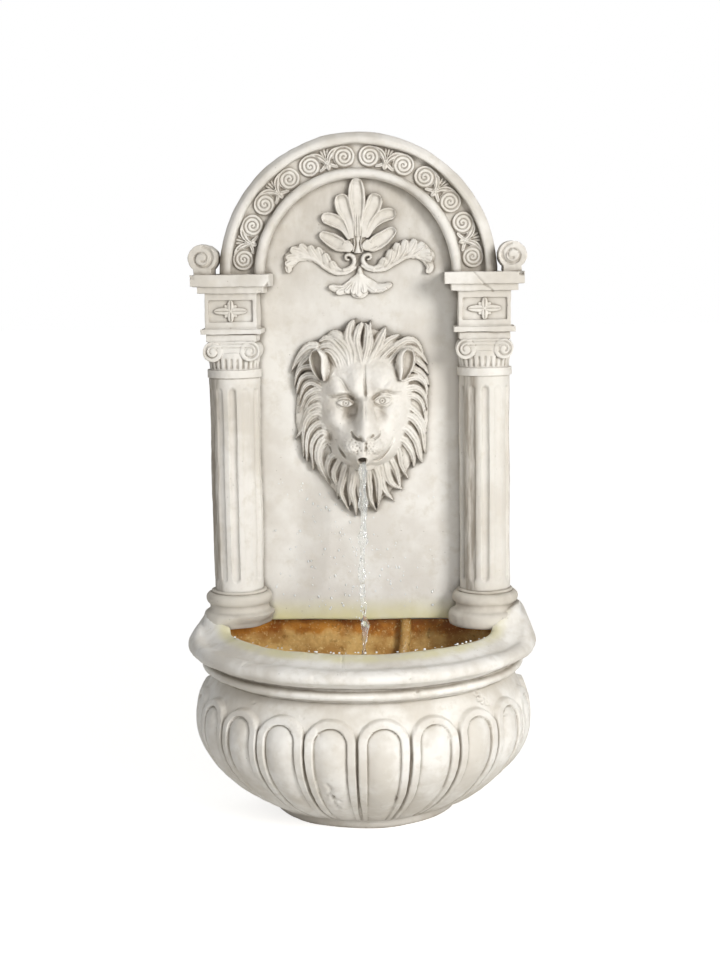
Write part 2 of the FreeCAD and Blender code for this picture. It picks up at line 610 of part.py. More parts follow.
def build_arch_ornaments():
    """Six carvings in the frieze: each has two spirals, a fan between them and a forked stem."""
    wall = (size("rim_radius") + size("rim_centre")) / 2
    ground = wall - size("panel_face") - size("frieze_rise")
    springing = (size("basin_height") + size("base_height") + size("shaft_height") + size("necking_height")
                 + size("echinus_height") + size("bolster_height") + size("capital_neck") + size("cap_height")
                 + size("block_height") + size("step_height") + size("cornice_height"))
    outer = size("arch_radius") - size("arch_chamfer") - size("outer_fillet")
    middle = outer - size("frieze_width") / 2
    relief = size("ornament_relief")

    def at(angle, reach, lift=0.0):
        turn = math.radians(angle)
        return Vector(reach * math.cos(turn), ground - lift, springing + reach * math.sin(turn))

    def prism(corners, height):
        corners = corners + corners[:1]
        face = Part.Face(Part.makePolygon(corners))
        return face.extrude(Vector(0, -height, 0))

    for number, angle in enumerate((164, 134.5, 105, 75, 45.5, 16), start=1):
        solids = []
        spread = size("ornament_spread")
        for side in (-1, 1):
            centre = at(angle + side * spread, middle)
            radius = size("spiral_radius")
            solids.append(Part.makeCone(radius, radius * 0.8, relief, centre, Vector(0, -1, 0)))
            arm = angle + side * spread * 0.6
            solids.append(prism([at(angle - 0.8, middle - 10), at(angle + 0.8, middle - 10),
                                 at(arm + 0.8, middle + 2), at(arm - 0.8, middle + 2)], relief * 0.7))
        solids.append(Part.makeCylinder(4, relief * 0.7, at(angle, middle - 6), Vector(0, -1, 0)))
        for leaf in (-2, -1, 0, 1, 2):
            tip = at(angle + leaf * spread * 0.22, middle + 11 - abs(leaf))
            lean = leaf * spread * 0.17
            root = angle + leaf * 0.3
            solids.append(prism([at(root - 0.4, middle - 6), at(angle + lean - 0.55, middle + 6),
                                 tip, at(angle + lean + 0.55, middle + 6),
                                 at(root + 0.4, middle - 6)], relief * 0.8))
        carving = solids[0].multiFuse(solids[1:])
        keep(plain(f"arch_ornament_{number}", carving), f"arch_ornament_{number}")


# The columns and what they carry, once on each side of the niche.
def build_column(side, word):
    """One column: base, fluted shaft and volute capital, all flat where they meet the panel."""
    middle = f"{side} * Sizes.column_offset"
    behind = block(f"behind_column_{word}", middle, "Sizes.cornice_width * 2", "0", "Sizes.panel_face",
                   f"{RIM} - 1", f"{SPRINGING} + 1")
    radius = "Sizes.base_radius"
    torus = "Sizes.base_torus"
    high = "Sizes.base_height"
    base = turned(f"base_turning_{word}", [
        ("0", "0"),
        (f"{radius} - 2", "0"),
        (radius, f"0.10 * {high}"),
        (radius, f"0.30 * {high}"),
        (f"{radius} - 3", f"0.41 * {high}"),
        (f"{torus} - 3", f"0.45 * {high}"),
        (f"{torus} - 4", f"0.60 * {high}"),
        (f"{torus} - 1", f"0.64 * {high}"),
        (torus, f"0.74 * {high}"),
        (torus, f"0.82 * {high}"),
        (f"{torus} - 2", f"0.92 * {high}"),
        ("Sizes.shaft_radius + 2.5", f"0.94 * {high}"),
        ("Sizes.shaft_radius + 2.5", high),
        ("0", high),
    ])
    place(base, middle, depth("Sizes.column_depth"), RIM)
    dowel_hole = rod(f"base_dowel_hole_{word}", "Sizes.dowel_radius + Sizes.loose_fit",
                     "Sizes.dowel_length / 2 + 2", f"{side} * Sizes.dowel_offset",
                     depth("Sizes.column_depth"), f"{RIM} - 1")
    keep(cut(f"column_base_{word}", base, fuse(f"base_tools_{word}", behind, dowel_hole)),
         f"column_base_{word}")
    dowel = rod(f"locating_dowel_{word}", "Sizes.dowel_radius", "Sizes.dowel_length",
                f"{side} * Sizes.dowel_offset", depth("Sizes.column_depth"),
                f"{RIM} - Sizes.dowel_length / 2")
    keep(dowel, f"locating_dowel_{word}")

    shaft = build_shaft(word)
    place(shaft, middle, depth("Sizes.column_depth"), SHAFT_FOOT,
          Rotation(Vector(0, 0, 1), 270 - size("flute_pitch") * (size("flute_count") - 1) / 2))
    keep(cut(f"column_shaft_{word}", shaft, behind), f"column_shaft_{word}")

    necking = rod(f"necking_{word}", "Sizes.necking_radius", "Sizes.necking_height",
                  middle, depth("Sizes.column_depth"), NECKING)
    echinus = document.addObject("Part::Cone", f"echinus_{word}")
    echinus.setExpression("Radius1", "Sizes.shaft_radius - 1")
    echinus.setExpression("Radius2", "Sizes.shaft_radius + 1.5")
    echinus.setExpression("Height", "Sizes.echinus_height")
    place(echinus, middle, depth("Sizes.column_depth"), ECHINUS)
    pieces = [necking, echinus]
    pieces.append(block(f"bolster_{word}", middle, "Sizes.capital_width - 2 * Sizes.volute_radius",
                        "Sizes.panel_face - 1", "Sizes.capital_front", BOLSTER, CAPITAL_NECK))
    roll_height = f"{CAPITAL_NECK} - Sizes.volute_radius"
    for hand in (-1, 1):
        across = f"{middle} + {hand} * (Sizes.capital_width / 2 - Sizes.volute_radius)"
        end = "left" if hand < 0 else "right"
        pieces.append(rod(f"volute_{end}_{word}", "Sizes.volute_radius",
                          "Sizes.capital_front - Sizes.panel_face + 2", across, depth("Sizes.panel_face - 1"),
                          roll_height, TO_FRONT))
        pieces.append(rod(f"volute_eye_{end}_{word}", "Sizes.volute_radius * 0.55",
                          "Sizes.capital_front - Sizes.panel_face + 3", across, depth("Sizes.panel_face - 1"),
                          roll_height, TO_FRONT))
    pieces.append(block(f"capital_neck_{word}", middle, "Sizes.block_width - 2", "Sizes.panel_face - 1",
                        "Sizes.block_front", CAPITAL_NECK, CAP))
    capital = fuse(f"capital_blank_{word}", *pieces)
    keep(cut(f"capital_{word}", capital, behind), f"capital_{word}")


def build_shaft(word):
    """A round shaft with flutes on its front, turned so that its first flute is on its X axis."""
    body = document.addObject("PartDesign::Body", f"shaft_body_{word}")
    section = body.newObject("Sketcher::SketchObject", f"shaft_section_{word}")
    section.AttachmentSupport = (body_plane(body, "XY_Plane"), [""])
    section.MapMode = "FlatFace"
    section.addGeometry(Part.Circle(Vector(), Vector(0, 0, 1), size("shaft_radius")), False)
    section.addConstraint(Sketcher.Constraint("Coincident", 0, 3, -1, 1))
    round_limit = section.addConstraint(Sketcher.Constraint("Radius", 0, size("shaft_radius")))
    section.setExpression(f"Constraints[{round_limit}]", "Sizes.shaft_radius")
    pad = body.newObject("PartDesign::Pad", f"shaft_pad_{word}")
    pad.Profile = section
    pad.setExpression("Length", "Sizes.shaft_height")
    document.recompute()

    flute = body.newObject("Sketcher::SketchObject", f"flute_section_{word}")
    flute.AttachmentSupport = (body_plane(body, "XY_Plane"), [""])
    flute.MapMode = "FlatFace"
    flute.setExpression("AttachmentOffset.Base.z", "Sizes.flute_margin")
    reach = size("shaft_radius") + 2
    flute.addGeometry(Part.Circle(Vector(reach, 0, 0), Vector(0, 0, 1), size("flute_radius")), False)
    flute.addConstraint(Sketcher.Constraint("PointOnObject", 0, 3, -1))
    across = flute.addConstraint(Sketcher.Constraint("DistanceX", -1, 1, 0, 3, reach))
    flute.setExpression(f"Constraints[{across}]", "Sizes.shaft_radius + 2")
    width = flute.addConstraint(Sketcher.Constraint("Radius", 0, size("flute_radius")))
    flute.setExpression(f"Constraints[{width}]", "Sizes.flute_radius")
    pocket = body.newObject("PartDesign::Pocket", f"flute_{word}")
    pocket.Profile = flute
    pocket.Reversed = True
    pocket.setExpression("Length", "Sizes.shaft_height - 2 * Sizes.flute_margin")
    document.recompute()
    row = body.newObject("PartDesign::PolarPattern", f"flutes_{word}")
    row.Originals = [pocket]
    row.Axis = (section, ["N_Axis"])
    row.setExpression("Angle", "Sizes.flute_pitch * (Sizes.flute_count - 1)")
    row.setExpression("Occurrences", "Sizes.flute_count")
    body.Tip = row
    document.recompute()
    return body


def build_entablature(side, word):
    """The frieze block, its fillet, its step and its cornice, cast as one, with a star in a sunk field."""
    middle = f"{side} * Sizes.column_offset"
    back = "Sizes.panel_face"
    cap = block(f"cap_{word}", middle, "Sizes.cap_width", back, "Sizes.block_front + 4", CAP, BLOCK)
    frieze = block(f"frieze_{word}", middle, "Sizes.block_width", back, "Sizes.block_front", BLOCK, STEP)
    step = block(f"step_{word}", middle, "Sizes.step_width", back, "Sizes.cornice_front - 4", STEP, CORNICE)
    cornice = block(f"cornice_{word}", middle, "Sizes.cornice_width", back, "Sizes.cornice_front",
                    CORNICE, SPRINGING)
    field_middle = f"({BLOCK} + Sizes.block_height / 2)"
    recess = block(f"recess_{word}", middle, "Sizes.recess_width", "Sizes.block_front - Sizes.recess_depth",
                   "Sizes.block_front + 1", f"{field_middle} - Sizes.recess_height / 2",
                   f"{field_middle} + Sizes.recess_height / 2")
    keep(cut(f"entablature_{word}", fuse(f"entablature_blank_{word}", cap, frieze, step, cornice), recess),
         f"entablature_{word}")

    star = star_body(f"frieze_star_{word}")
    place(star, middle, depth("Sizes.block_front - Sizes.recess_depth"), field_middle, TO_FRONT)
    keep(star, f"frieze_star_{word}")

    scroll_middle = f"{side} * Sizes.scroll_offset"
    height = f"{SPRINGING} + Sizes.scroll_rise"
    roll = rod(f"scroll_roll_{word}", "Sizes.scroll_radius", "Sizes.scroll_front - Sizes.panel_face",
               scroll_middle, depth("Sizes.panel_face"), height, TO_FRONT)
    eye = rod(f"scroll_eye_{word}", "Sizes.scroll_radius * 0.45",
              "Sizes.scroll_front - Sizes.panel_face + 1.5", scroll_middle, depth("Sizes.panel_face"),
              height, TO_FRONT)
    seat = block(f"scroll_seat_{word}", scroll_middle, "1.3 * Sizes.scroll_radius", back,
                 "Sizes.scroll_front", SPRINGING, height)
    keep(fuse(f"corner_scroll_{word}", roll, eye, seat), f"corner_scroll_{word}")


def star_body(name):
    """A four-pointed star with hollow sides, as wide as the sunk field allows."""
    body = document.addObject("PartDesign::Body", name)
    wide = "Sizes.recess_width * 0.37"
    high = "Sizes.recess_height * 0.46"
    quarter = (wide, high)
    sketch = body.newObject("Sketcher::SketchObject", f"{name}_outline")
    sketch.AttachmentSupport = (body_plane(body, "XY_Plane"), [""])
    sketch.MapMode = "FlatFace"
    start = [Vector(18, 0, 0), Vector(4, 4, 0), Vector(0, 11, 0), Vector(-4, 4, 0),
             Vector(-18, 0, 0), Vector(-4, -4, 0), Vector(0, -11, 0), Vector(4, -4, 0)]
    count = len(start)
    for index in range(count):
        sketch.addGeometry(Part.LineSegment(start[index], start[(index + 1) % count]), False)
    for index in range(count):
        sketch.addConstraint(Sketcher.Constraint("Coincident", index, 2, (index + 1) % count, 1))
    for index, point in enumerate(start):
        tie_star_corner(sketch, index, point, quarter)
    pad = body.newObject("PartDesign::Pad", f"{name}_pad")
    pad.Profile = sketch
    pad.setExpression("Length", "Sizes.recess_depth")
    return body


def tie_star_corner(sketch, index, point, quarter):
    """Tie a star's corner: a tip lies on an axis, and a hollow at a fixed share of the tips."""
    rows = ((-2, point.x, "DistanceX", quarter[0]), (-1, point.y, "DistanceY", quarter[1]))
    for axis, reading, kind, full in rows:
        if reading == 0:
            sketch.addConstraint(Sketcher.Constraint("PointOnObject", index, 1, axis))
            continue
        hollow = point.x != 0 and point.y != 0
        share = 0.30 if hollow else 1.0
        ends = (-1, 1, index, 1) if reading > 0 else (index, 1, -1, 1)
        row = sketch.addConstraint(Sketcher.Constraint(kind, *ends, abs(reading)))
        sketch.setExpression(f"Constraints[{row}]", f"{share} * {full}")


build_niche_panel()
build_rear_cover()
build_cable_grommet()
build_arch_moulding()
build_arch_ornaments()
for side, word in ((-1, "left"), (1, "right")):
    build_column(side, word)
    build_entablature(side, word)


# The carvings in the niche: rounded lobes, flat where they lie on the panel.
def lobe(name, across, out, up, x, z, lean=0.0):
    """Half an ellipsoid on the panel's face, which leans to the right by an angle."""
    half = egg(name, across, out, up, x, depth("Sizes.panel_face"), z)
    half.Angle3 = 180
    facing = Rotation(Vector(0, 0, 1), 180)
    return place(half, x, depth("Sizes.panel_face"), z, Rotation(Vector(0, 1, 0), lean).multiply(facing))


def build_palmette():
    """Seven leaves that fan out of a root, the middle one the longest, with a bud below."""
    root = f"({SPRINGING} + Sizes.palmette_rise)"
    leaf = "Sizes.palmette_length"
    lobes = [lobe("palmette_bud", f"0.12 * {leaf}", "Sizes.relief", f"0.24 * {leaf}", "0",
                  f"{root} - 0.28 * {leaf}"),
             lobe("palmette_root", f"0.16 * {leaf}", "Sizes.relief", f"0.24 * {leaf}", "0", root)]
    for index, (lean, reach) in enumerate(((0, 1.0), (24, 0.82), (48, 0.74), (80, 0.66))):
        for side in ((1,) if lean == 0 else (-1, 1)):
            turn = math.radians(lean * side)
            length = f"{reach} * {leaf}"
            x = f"{round(math.sin(turn) * 0.55, 4)} * {length}"
            z = f"{root} + {round(math.cos(turn) * 0.55, 4)} * {length}"
            lobes.append(lobe(f"palmette_leaf_{index}_{'left' if side < 0 else 'right'}",
                              f"0.14 * {leaf}", "Sizes.relief", f"0.45 * {length}",
                              x, z, lean * side))
    keep(fuse("palmette_crest", *lobes), "palmette_crest")


def build_acanthus(side, word):
    """A leaf that swings up and outward from the middle, with a curl at its root and at its tip."""
    span = "Sizes.acanthus_span"
    lobes = [
        lobe(f"acanthus_curl_{word}", f"0.11 * {span}", "0.8 * Sizes.relief", f"0.12 * {span}",
             f"{side} * 0.16 * {span}", f"{SPRINGING} + 0.25 * {span}"),
        lobe(f"acanthus_root_{word}", f"0.31 * {span}", "Sizes.relief", f"0.13 * {span}",
             f"{side} * 0.42 * {span}", f"{SPRINGING} + 0.10 * {span}", -14 * side),
        lobe(f"acanthus_rise_{word}", f"0.34 * {span}", "Sizes.relief", f"0.17 * {span}",
             f"{side} * 0.72 * {span}", f"{SPRINGING} + 0.35 * {span}", -42 * side),
        lobe(f"acanthus_crown_{word}", f"0.24 * {span}", "Sizes.relief", f"0.14 * {span}",
             f"{side} * 0.99 * {span}", f"{SPRINGING} + 0.43 * {span}", 28 * side),
        lobe(f"acanthus_tip_{word}", f"0.12 * {span}", "Sizes.relief", f"0.27 * {span}",
             f"{side} * 1.13 * {span}", f"{SPRINGING} + 0.24 * {span}", 6 * side),
    ]
    keep(fuse(f"acanthus_scroll_{word}", *lobes), f"acanthus_scroll_{word}")


def build_pendant():
    """The three-pointed leaf that hangs between the crest and the mane."""
    length = "Sizes.pendant_length"
    lobes = [lobe("pendant_middle", f"0.25 * {length}", "Sizes.relief", f"0.45 * {length}",
                  "0", f"{SPRINGING} - 0.36 * {length}")]
    for side, word in ((-1, "left"), (1, "right")):
        lobes.append(lobe(f"pendant_{word}", f"0.16 * {length}", "0.9 * Sizes.relief", f"0.56 * {length}",
                          f"{side} * 0.56 * {length}", f"{SPRINGING} - 0.375 * {length}", 107 * side))
    keep(fuse("pendant_leaf", *lobes), "pendant_leaf")


# The lion's face as rounded forms: place and half sizes in shares of the mane's half width, height in
# shares of the snout's reach, and lean to the right.
FACE_FORMS = [
    (0.00, 0.22, 0.56, 0.68, 0.52, 0),
    (0.00, 0.52, 0.40, 0.30, 0.58, 0),
    (0.03, 0.06, 0.17, 0.50, 0.76, 0),
    (0.04, -0.30, 0.19, 0.18, 1.00, 0),
    (-0.11, -0.45, 0.21, 0.18, 0.90, 0),
    (0.19, -0.45, 0.21, 0.18, 0.90, 0),
    (0.04, -0.46, 0.42, 0.26, 0.72, 0),
    (0.03, -0.80, 0.20, 0.16, 0.74, 0),
    (0.02, -0.76, 0.36, 0.34, 0.50, 0),
]
PAIRED_FORMS = [
    (0.40, -0.06, 0.20, 0.34, 0.56, 12),
    (0.25, 0.38, 0.24, 0.10, 0.72, 16),
    (0.26, 0.15, 0.12, 0.08, 0.60, 0),
    (0.64, 0.62, 0.16, 0.20, 0.44, 20),
]


def mask_height(x, z):
    """How far the mask stands out of the panel, at a place measured from the mane's middle."""
    wide = size("mane_half_width")
    snout = size("muzzle_front") - size("panel_face")
    reach_up = size("mane_half_height") + 0.09 * wide
    reach_down = size("mane_half_height") + 0.4 * wide
    ring = math.hypot(x / wide, z / (reach_up if z > 0 else reach_down))
    mane = size("mane_relief") * max(0.0, 1 - 0.62 * ring ** 3)
    swirl = math.atan2(z, x) * size("lock_count") + 2.5 * ring
    mane += 0.12 * size("mane_relief") * math.cos(swirl) * min(1.0, ring)
    heights = [max(mane, 0.3 * size("mane_relief"))]
    forms = list(FACE_FORMS)
    for side in (-1, 1):
        forms += [(side * across, rise, half, tall, out, side * lean)
                  for across, rise, half, tall, out, lean in PAIRED_FORMS]
    for across, rise, half, tall, out, lean in forms:
        turn = math.radians(lean)
        dx = (x - size("mask_offset")) / wide - across
        dz = z / wide - rise
        u = (dx * math.cos(turn) - dz * math.sin(turn)) / half
        v = (dx * math.sin(turn) + dz * math.cos(turn)) / tall
        inside = 1 - u * u - v * v
        if inside > 0:
            heights.append(out * snout * inside ** 0.5)
    blend = 7
    return sum(height ** blend for height in heights) ** (1 / blend)


def mask_outline(middle_z, front):
    """The mane's edge as a ring of locks, each an arc from valley to valley."""
    wide = size("mane_half_width")
    reach_up = size("mane_half_height") + 0.09 * wide
    reach_down = size("mane_half_height") + 0.4 * wide
    count = 2 * int(size("lock_count"))

    def on_edge(index, share):
        angle = 2 * math.pi * index / count
        tall = reach_up if math.sin(angle) > 0 else reach_down
        return Vector(share * wide * math.cos(angle), front, middle_z + share * tall * math.sin(angle))

    edges = []
    for index in range(count):
        edges.append(Part.Arc(on_edge(index - 0.5, 0.94), on_edge(index, 1.0),
                              on_edge(index + 0.5, 0.94)).toShape())
    return Part.Wire(edges)


def build_lion_mask():
    """The lion's head: one casting, flat on the panel, with a bore for the spout."""
    wall = (size("rim_radius") + size("rim_centre")) / 2
    face = wall - size("panel_face")
    middle = size("basin_height") + size("mask_rise")
    wide = size("mane_half_width")
    tall = size("mane_half_height") + 0.45 * wide
    columns = 35
    rows = 55
    grid = []
    for row in range(rows):
        z = tall * (2 * row / (rows - 1) - 1)
        line = []
        for column in range(columns):
            x = 1.08 * wide * (2 * column / (columns - 1) - 1)
            line.append(Vector(x, face - mask_height(x, z), middle + z))
        grid.append(line)
    front = Part.BSplineSurface()
    front.interpolate(grid)
    reach = size("muzzle_front") + size("panel_face")
    casting = front.toShape().extrude(Vector(0, reach, 0))
    prism = Part.Face(mask_outline(middle, face - reach)).extrude(Vector(0, reach, 0))
    head = plain("mask_casting", casting.common(prism))
    bore = rod("mask_spout_bore", "Sizes.spout_radius + Sizes.loose_fit", "Sizes.muzzle_front",
               "Sizes.mask_offset", depth("0"), SPOUT, TO_FRONT)
    keep(cut("lion_mask", head, bore), "lion_mask")


build_palmette()
build_pendant()
for side, word in ((-1, "left"), (1, "right")):
    build_acanthus(side, word)
build_lion_mask()


# The water's way up: pump outlet, riser hose, elbow and the spout through the panel.
ELBOW_RADIUS = "(Sizes.hose_radius + 0.5)"


def tube(name, outer, inner, length, x, y, z, rotation=UPRIGHT):
    """A straight tube along the turned Z axis."""
    return cut(name, rod(f"{name}_outside", outer, length, x, y, z, rotation),
               rod(f"{name}_bore", inner, length, x, y, z, rotation))


def build_spout():
    """The copper tube through the panel, its nut and the elbow that feeds it."""
    middle = "Sizes.mask_offset"
    keep(tube("spout_tube", "Sizes.spout_radius", "Sizes.spout_bore", "Sizes.spout_tip - Sizes.hose_depth",
              middle, depth("Sizes.hose_depth"), SPOUT, TO_FRONT), "spout_tube")
    inside = "(Sizes.panel_face - Sizes.panel_wall)"
    nut_thick = f"({inside} - Sizes.hose_depth - {ELBOW_RADIUS} - 1)"
    nut = document.addObject("Part::Prism", "spout_nut_blank")
    nut.Polygon = 6
    nut.setExpression("Circumradius", "Sizes.spout_radius + 4.5")
    nut.setExpression("Height", nut_thick)
    place(nut, middle, depth(f"{inside} - {nut_thick}"), SPOUT, TO_FRONT)
    nut_bore = rod("spout_nut_bore", "Sizes.spout_radius + Sizes.turning_fit", nut_thick,
                   middle, depth(f"{inside} - {nut_thick}"), SPOUT, TO_FRONT)
    keep(cut("spout_locknut", nut, nut_bore), "spout_locknut")

    foot = f"({SPOUT} - 3.2 * {ELBOW_RADIUS})"
    shoulder = f"({SPOUT} - 1.5 * {ELBOW_RADIUS})"
    upright = rod("elbow_upright", ELBOW_RADIUS, f"{SPOUT} - {shoulder}", middle, depth("Sizes.hose_depth"),
                  shoulder)
    dome = document.addObject("Part::Sphere", "elbow_dome")
    dome.setExpression("Radius", ELBOW_RADIUS)
    place(dome, middle, depth("Sizes.hose_depth"), SPOUT)
    barb = rod("elbow_barb", "Sizes.hose_bore - Sizes.loose_fit", f"{shoulder} - {foot} + 1",
               middle, depth("Sizes.hose_depth"), foot)
    water = rod("elbow_water", "Sizes.hose_bore - 1.5", f"{SPOUT} - {foot}",
                middle, depth("Sizes.hose_depth"), foot)
    socket = rod("elbow_socket", "Sizes.spout_radius + Sizes.turning_fit", f"2 * {ELBOW_RADIUS}",
                 middle, depth("Sizes.hose_depth"), SPOUT, TO_FRONT)
    keep(cut("spout_elbow", fuse("elbow_outside", upright, dome, barb), fuse("elbow_bores", water, socket)),
         "spout_elbow")


def riser_route():
    """The hose's corner points, from the pump's barb to the elbow, in X, depth and height."""
    start_x = size("pump_offset")
    chamber_middle = size("pump_back") + size("pump_length") + size("chamber_length") / 2
    axis = size("basin_floor") + size("foot_pad_height") + size("pump_height") / 2
    low = axis + size("chamber_bore") + size("chamber_side") + 0.5
    spout = size("basin_height") + size("mask_rise") - size("mouth_drop")
    high = spout - 1.5 * (size("hose_radius") + 0.5)
    gap = size("basin_back") + size("hose_radius") + 1
    behind = size("hose_depth")
    end_x = size("mask_offset")
    across = size("hose_offset")
    return [(start_x, chamber_middle, low), (start_x, chamber_middle, low + 34),
            (start_x + 8, chamber_middle - 19, low + 80), (across - 1, gap + 1, low + 130),
            (across, gap, low + 176), (across - 5, behind, low + 232), (end_x + 22, behind, high - 72),
            (end_x, behind, high - 30), (end_x, behind, high)]


def hose_path(points):
    """Straight runs joined by tangent arcs, each arc as large as its two runs allow."""
    edges = []
    last = points[0]
    for before, corner, after in zip(points, points[1:], points[2:]):
        arriving = (corner - before).normalize()
        leaving = (after - corner).normalize()
        half_turn = arriving.getAngle(leaving) / 2
        trim = 0.45 * min((corner - before).Length, (after - corner).Length)
        radius = trim / math.tan(half_turn)
        print(f"riser hose bend radius {radius:.0f}")
        start = corner - arriving * trim
        end = corner + leaving * trim
        inward = (leaving - arriving).normalize()
        crown = corner + inward * (radius / math.cos(half_turn) - radius)
        edges.append(Part.LineSegment(last, start).toShape())
        edges.append(Part.Arc(start, crown, end).toShape())
        last = end
    edges.append(Part.LineSegment(last, points[-1]).toShape())
    return Part.Wire(edges)


def build_riser_hose():
    """The clear hose between the pump and the elbow, with a clamp at each end."""
    wall = (size("rim_radius") + size("rim_centre")) / 2
    points = [Vector(x, wall - away, z) for x, away, z in riser_route()]
    path = hose_path(points)
    solids = []
    for radius in (size("hose_radius"), size("hose_bore")):
        ring = Part.Wire(Part.makeCircle(radius, points[0], Vector(0, 0, 1)))
        solids.append(path.makePipeShell([ring], True, False))
    keep(plain("riser_hose", solids[0].cut(solids[1])), "riser_hose")
    ratio = solids[0].Volume / (math.pi * size("hose_radius") ** 2 * path.Length)
    print(f"riser hose length {path.Length:.0f}, volume over section times length {ratio:.4f}")
    clamps = []
    outer = "Sizes.hose_radius + Sizes.loose_fit"
    for name, point, lift in (("hose_clamp_low", points[0], 3), ("hose_clamp_high", points[-1], -10)):
        strap = tube(name, f"{outer} + 1", outer, "7", str(point.x), str(point.y), str(point.z + lift))
        screw = rod(f"{name}_screw", "1.8", "9", f"{point.x} + {outer} + 2.4", str(point.y + 4.5),
                    str(point.z + lift + 3.5), TO_FRONT)
        clamps.append(fuse(f"{name}_whole", strap, screw))
    keep(group("hose_clamps", *clamps), "hose_clamps")


# The pump: a small synchronous motor whose magnet rotor spins in a wet well.
def build_pump_body():
    """The potted motor block with the rotor's well, its core and its coil."""
    middle = "Sizes.pump_offset"
    shell = block("pump_block", middle, "Sizes.pump_width", "Sizes.pump_back", PUMP_NOSE,
                  PUMP_FLOOR, f"{PUMP_FLOOR} + Sizes.pump_height")
    rounded = document.addObject("Part::Fillet", "pump_block_rounded")
    rounded.Base = shell
    document.recompute()
    long_edges = [index + 1 for index, edge in enumerate(shell.Shape.Edges)
                  if abs(edge.tangentAt(edge.FirstParameter).y) > 0.9]
    rounded.Edges = [(index, 4.0, 4.0) for index in long_edges]
    well = rod("rotor_well", "Sizes.well_bore", "Sizes.well_depth + 1", middle,
               depth(f"{PUMP_NOSE} - Sizes.well_depth"), PUMP_AXIS, TO_FRONT)

    core_back = f"({PUMP_NOSE} - Sizes.well_depth + 2)"
    core_front = f"({core_back} + Sizes.core_length)"
    opening = "(Sizes.well_bore + Sizes.core_wall)"
    yoke_top = f"({PUMP_AXIS} - {opening} - Sizes.coil_wall)"
    yoke_foot = f"({yoke_top} - Sizes.yoke_height)"
    outside = block("core_outside", middle, f"2 * ({opening} + Sizes.core_thick)", core_back, core_front,
                    yoke_foot, f"{PUMP_AXIS} + Sizes.core_rise")
    between = block("core_between", middle, f"2 * {opening}", core_back, core_front,
                    yoke_top, f"{PUMP_AXIS} + Sizes.core_rise")
    core = cut("stator_core", outside, between)
    coil_outside = block("coil_outside", middle, f"2 * {opening}", f"{core_back} - Sizes.coil_wall",
                         f"{core_front} + Sizes.coil_wall", f"{yoke_foot} - Sizes.coil_wall",
                         f"{yoke_top} + Sizes.coil_wall")
    yoke_space = block("coil_inside", middle, f"2 * {opening}", core_back, core_front, yoke_foot, yoke_top)
    coil = cut("stator_coil", coil_outside, yoke_space)
    keep(cut("pump_body", rounded, fuse("pump_spaces", well, core, coil_outside)), "pump_body")
    keep(core, "stator_core")
    keep(coil, "stator_coil")

    feet = []
    for hand in (-1, 1):
        for share in (0.2, 0.8):
            feet.append(rod(f"pump_foot_{len(feet) + 1}", "Sizes.foot_pad_radius", "Sizes.foot_pad_height",
                            f"{middle} + {hand} * (Sizes.pump_width / 2 - Sizes.foot_pad_radius - 1)",
                            depth(f"Sizes.pump_back + {share} * Sizes.pump_length"), "Sizes.basin_floor"))
    keep(group("pump_feet", *feet), "pump_feet")


SEAL_RING = "(Sizes.chamber_bore + Sizes.chamber_side / 2)"
CHAMBER_RADIUS = "(Sizes.chamber_bore + Sizes.chamber_side)"
SPIGOT = "(Sizes.chamber_bore + Sizes.chamber_side - Sizes.cover_wall - Sizes.turning_fit)"


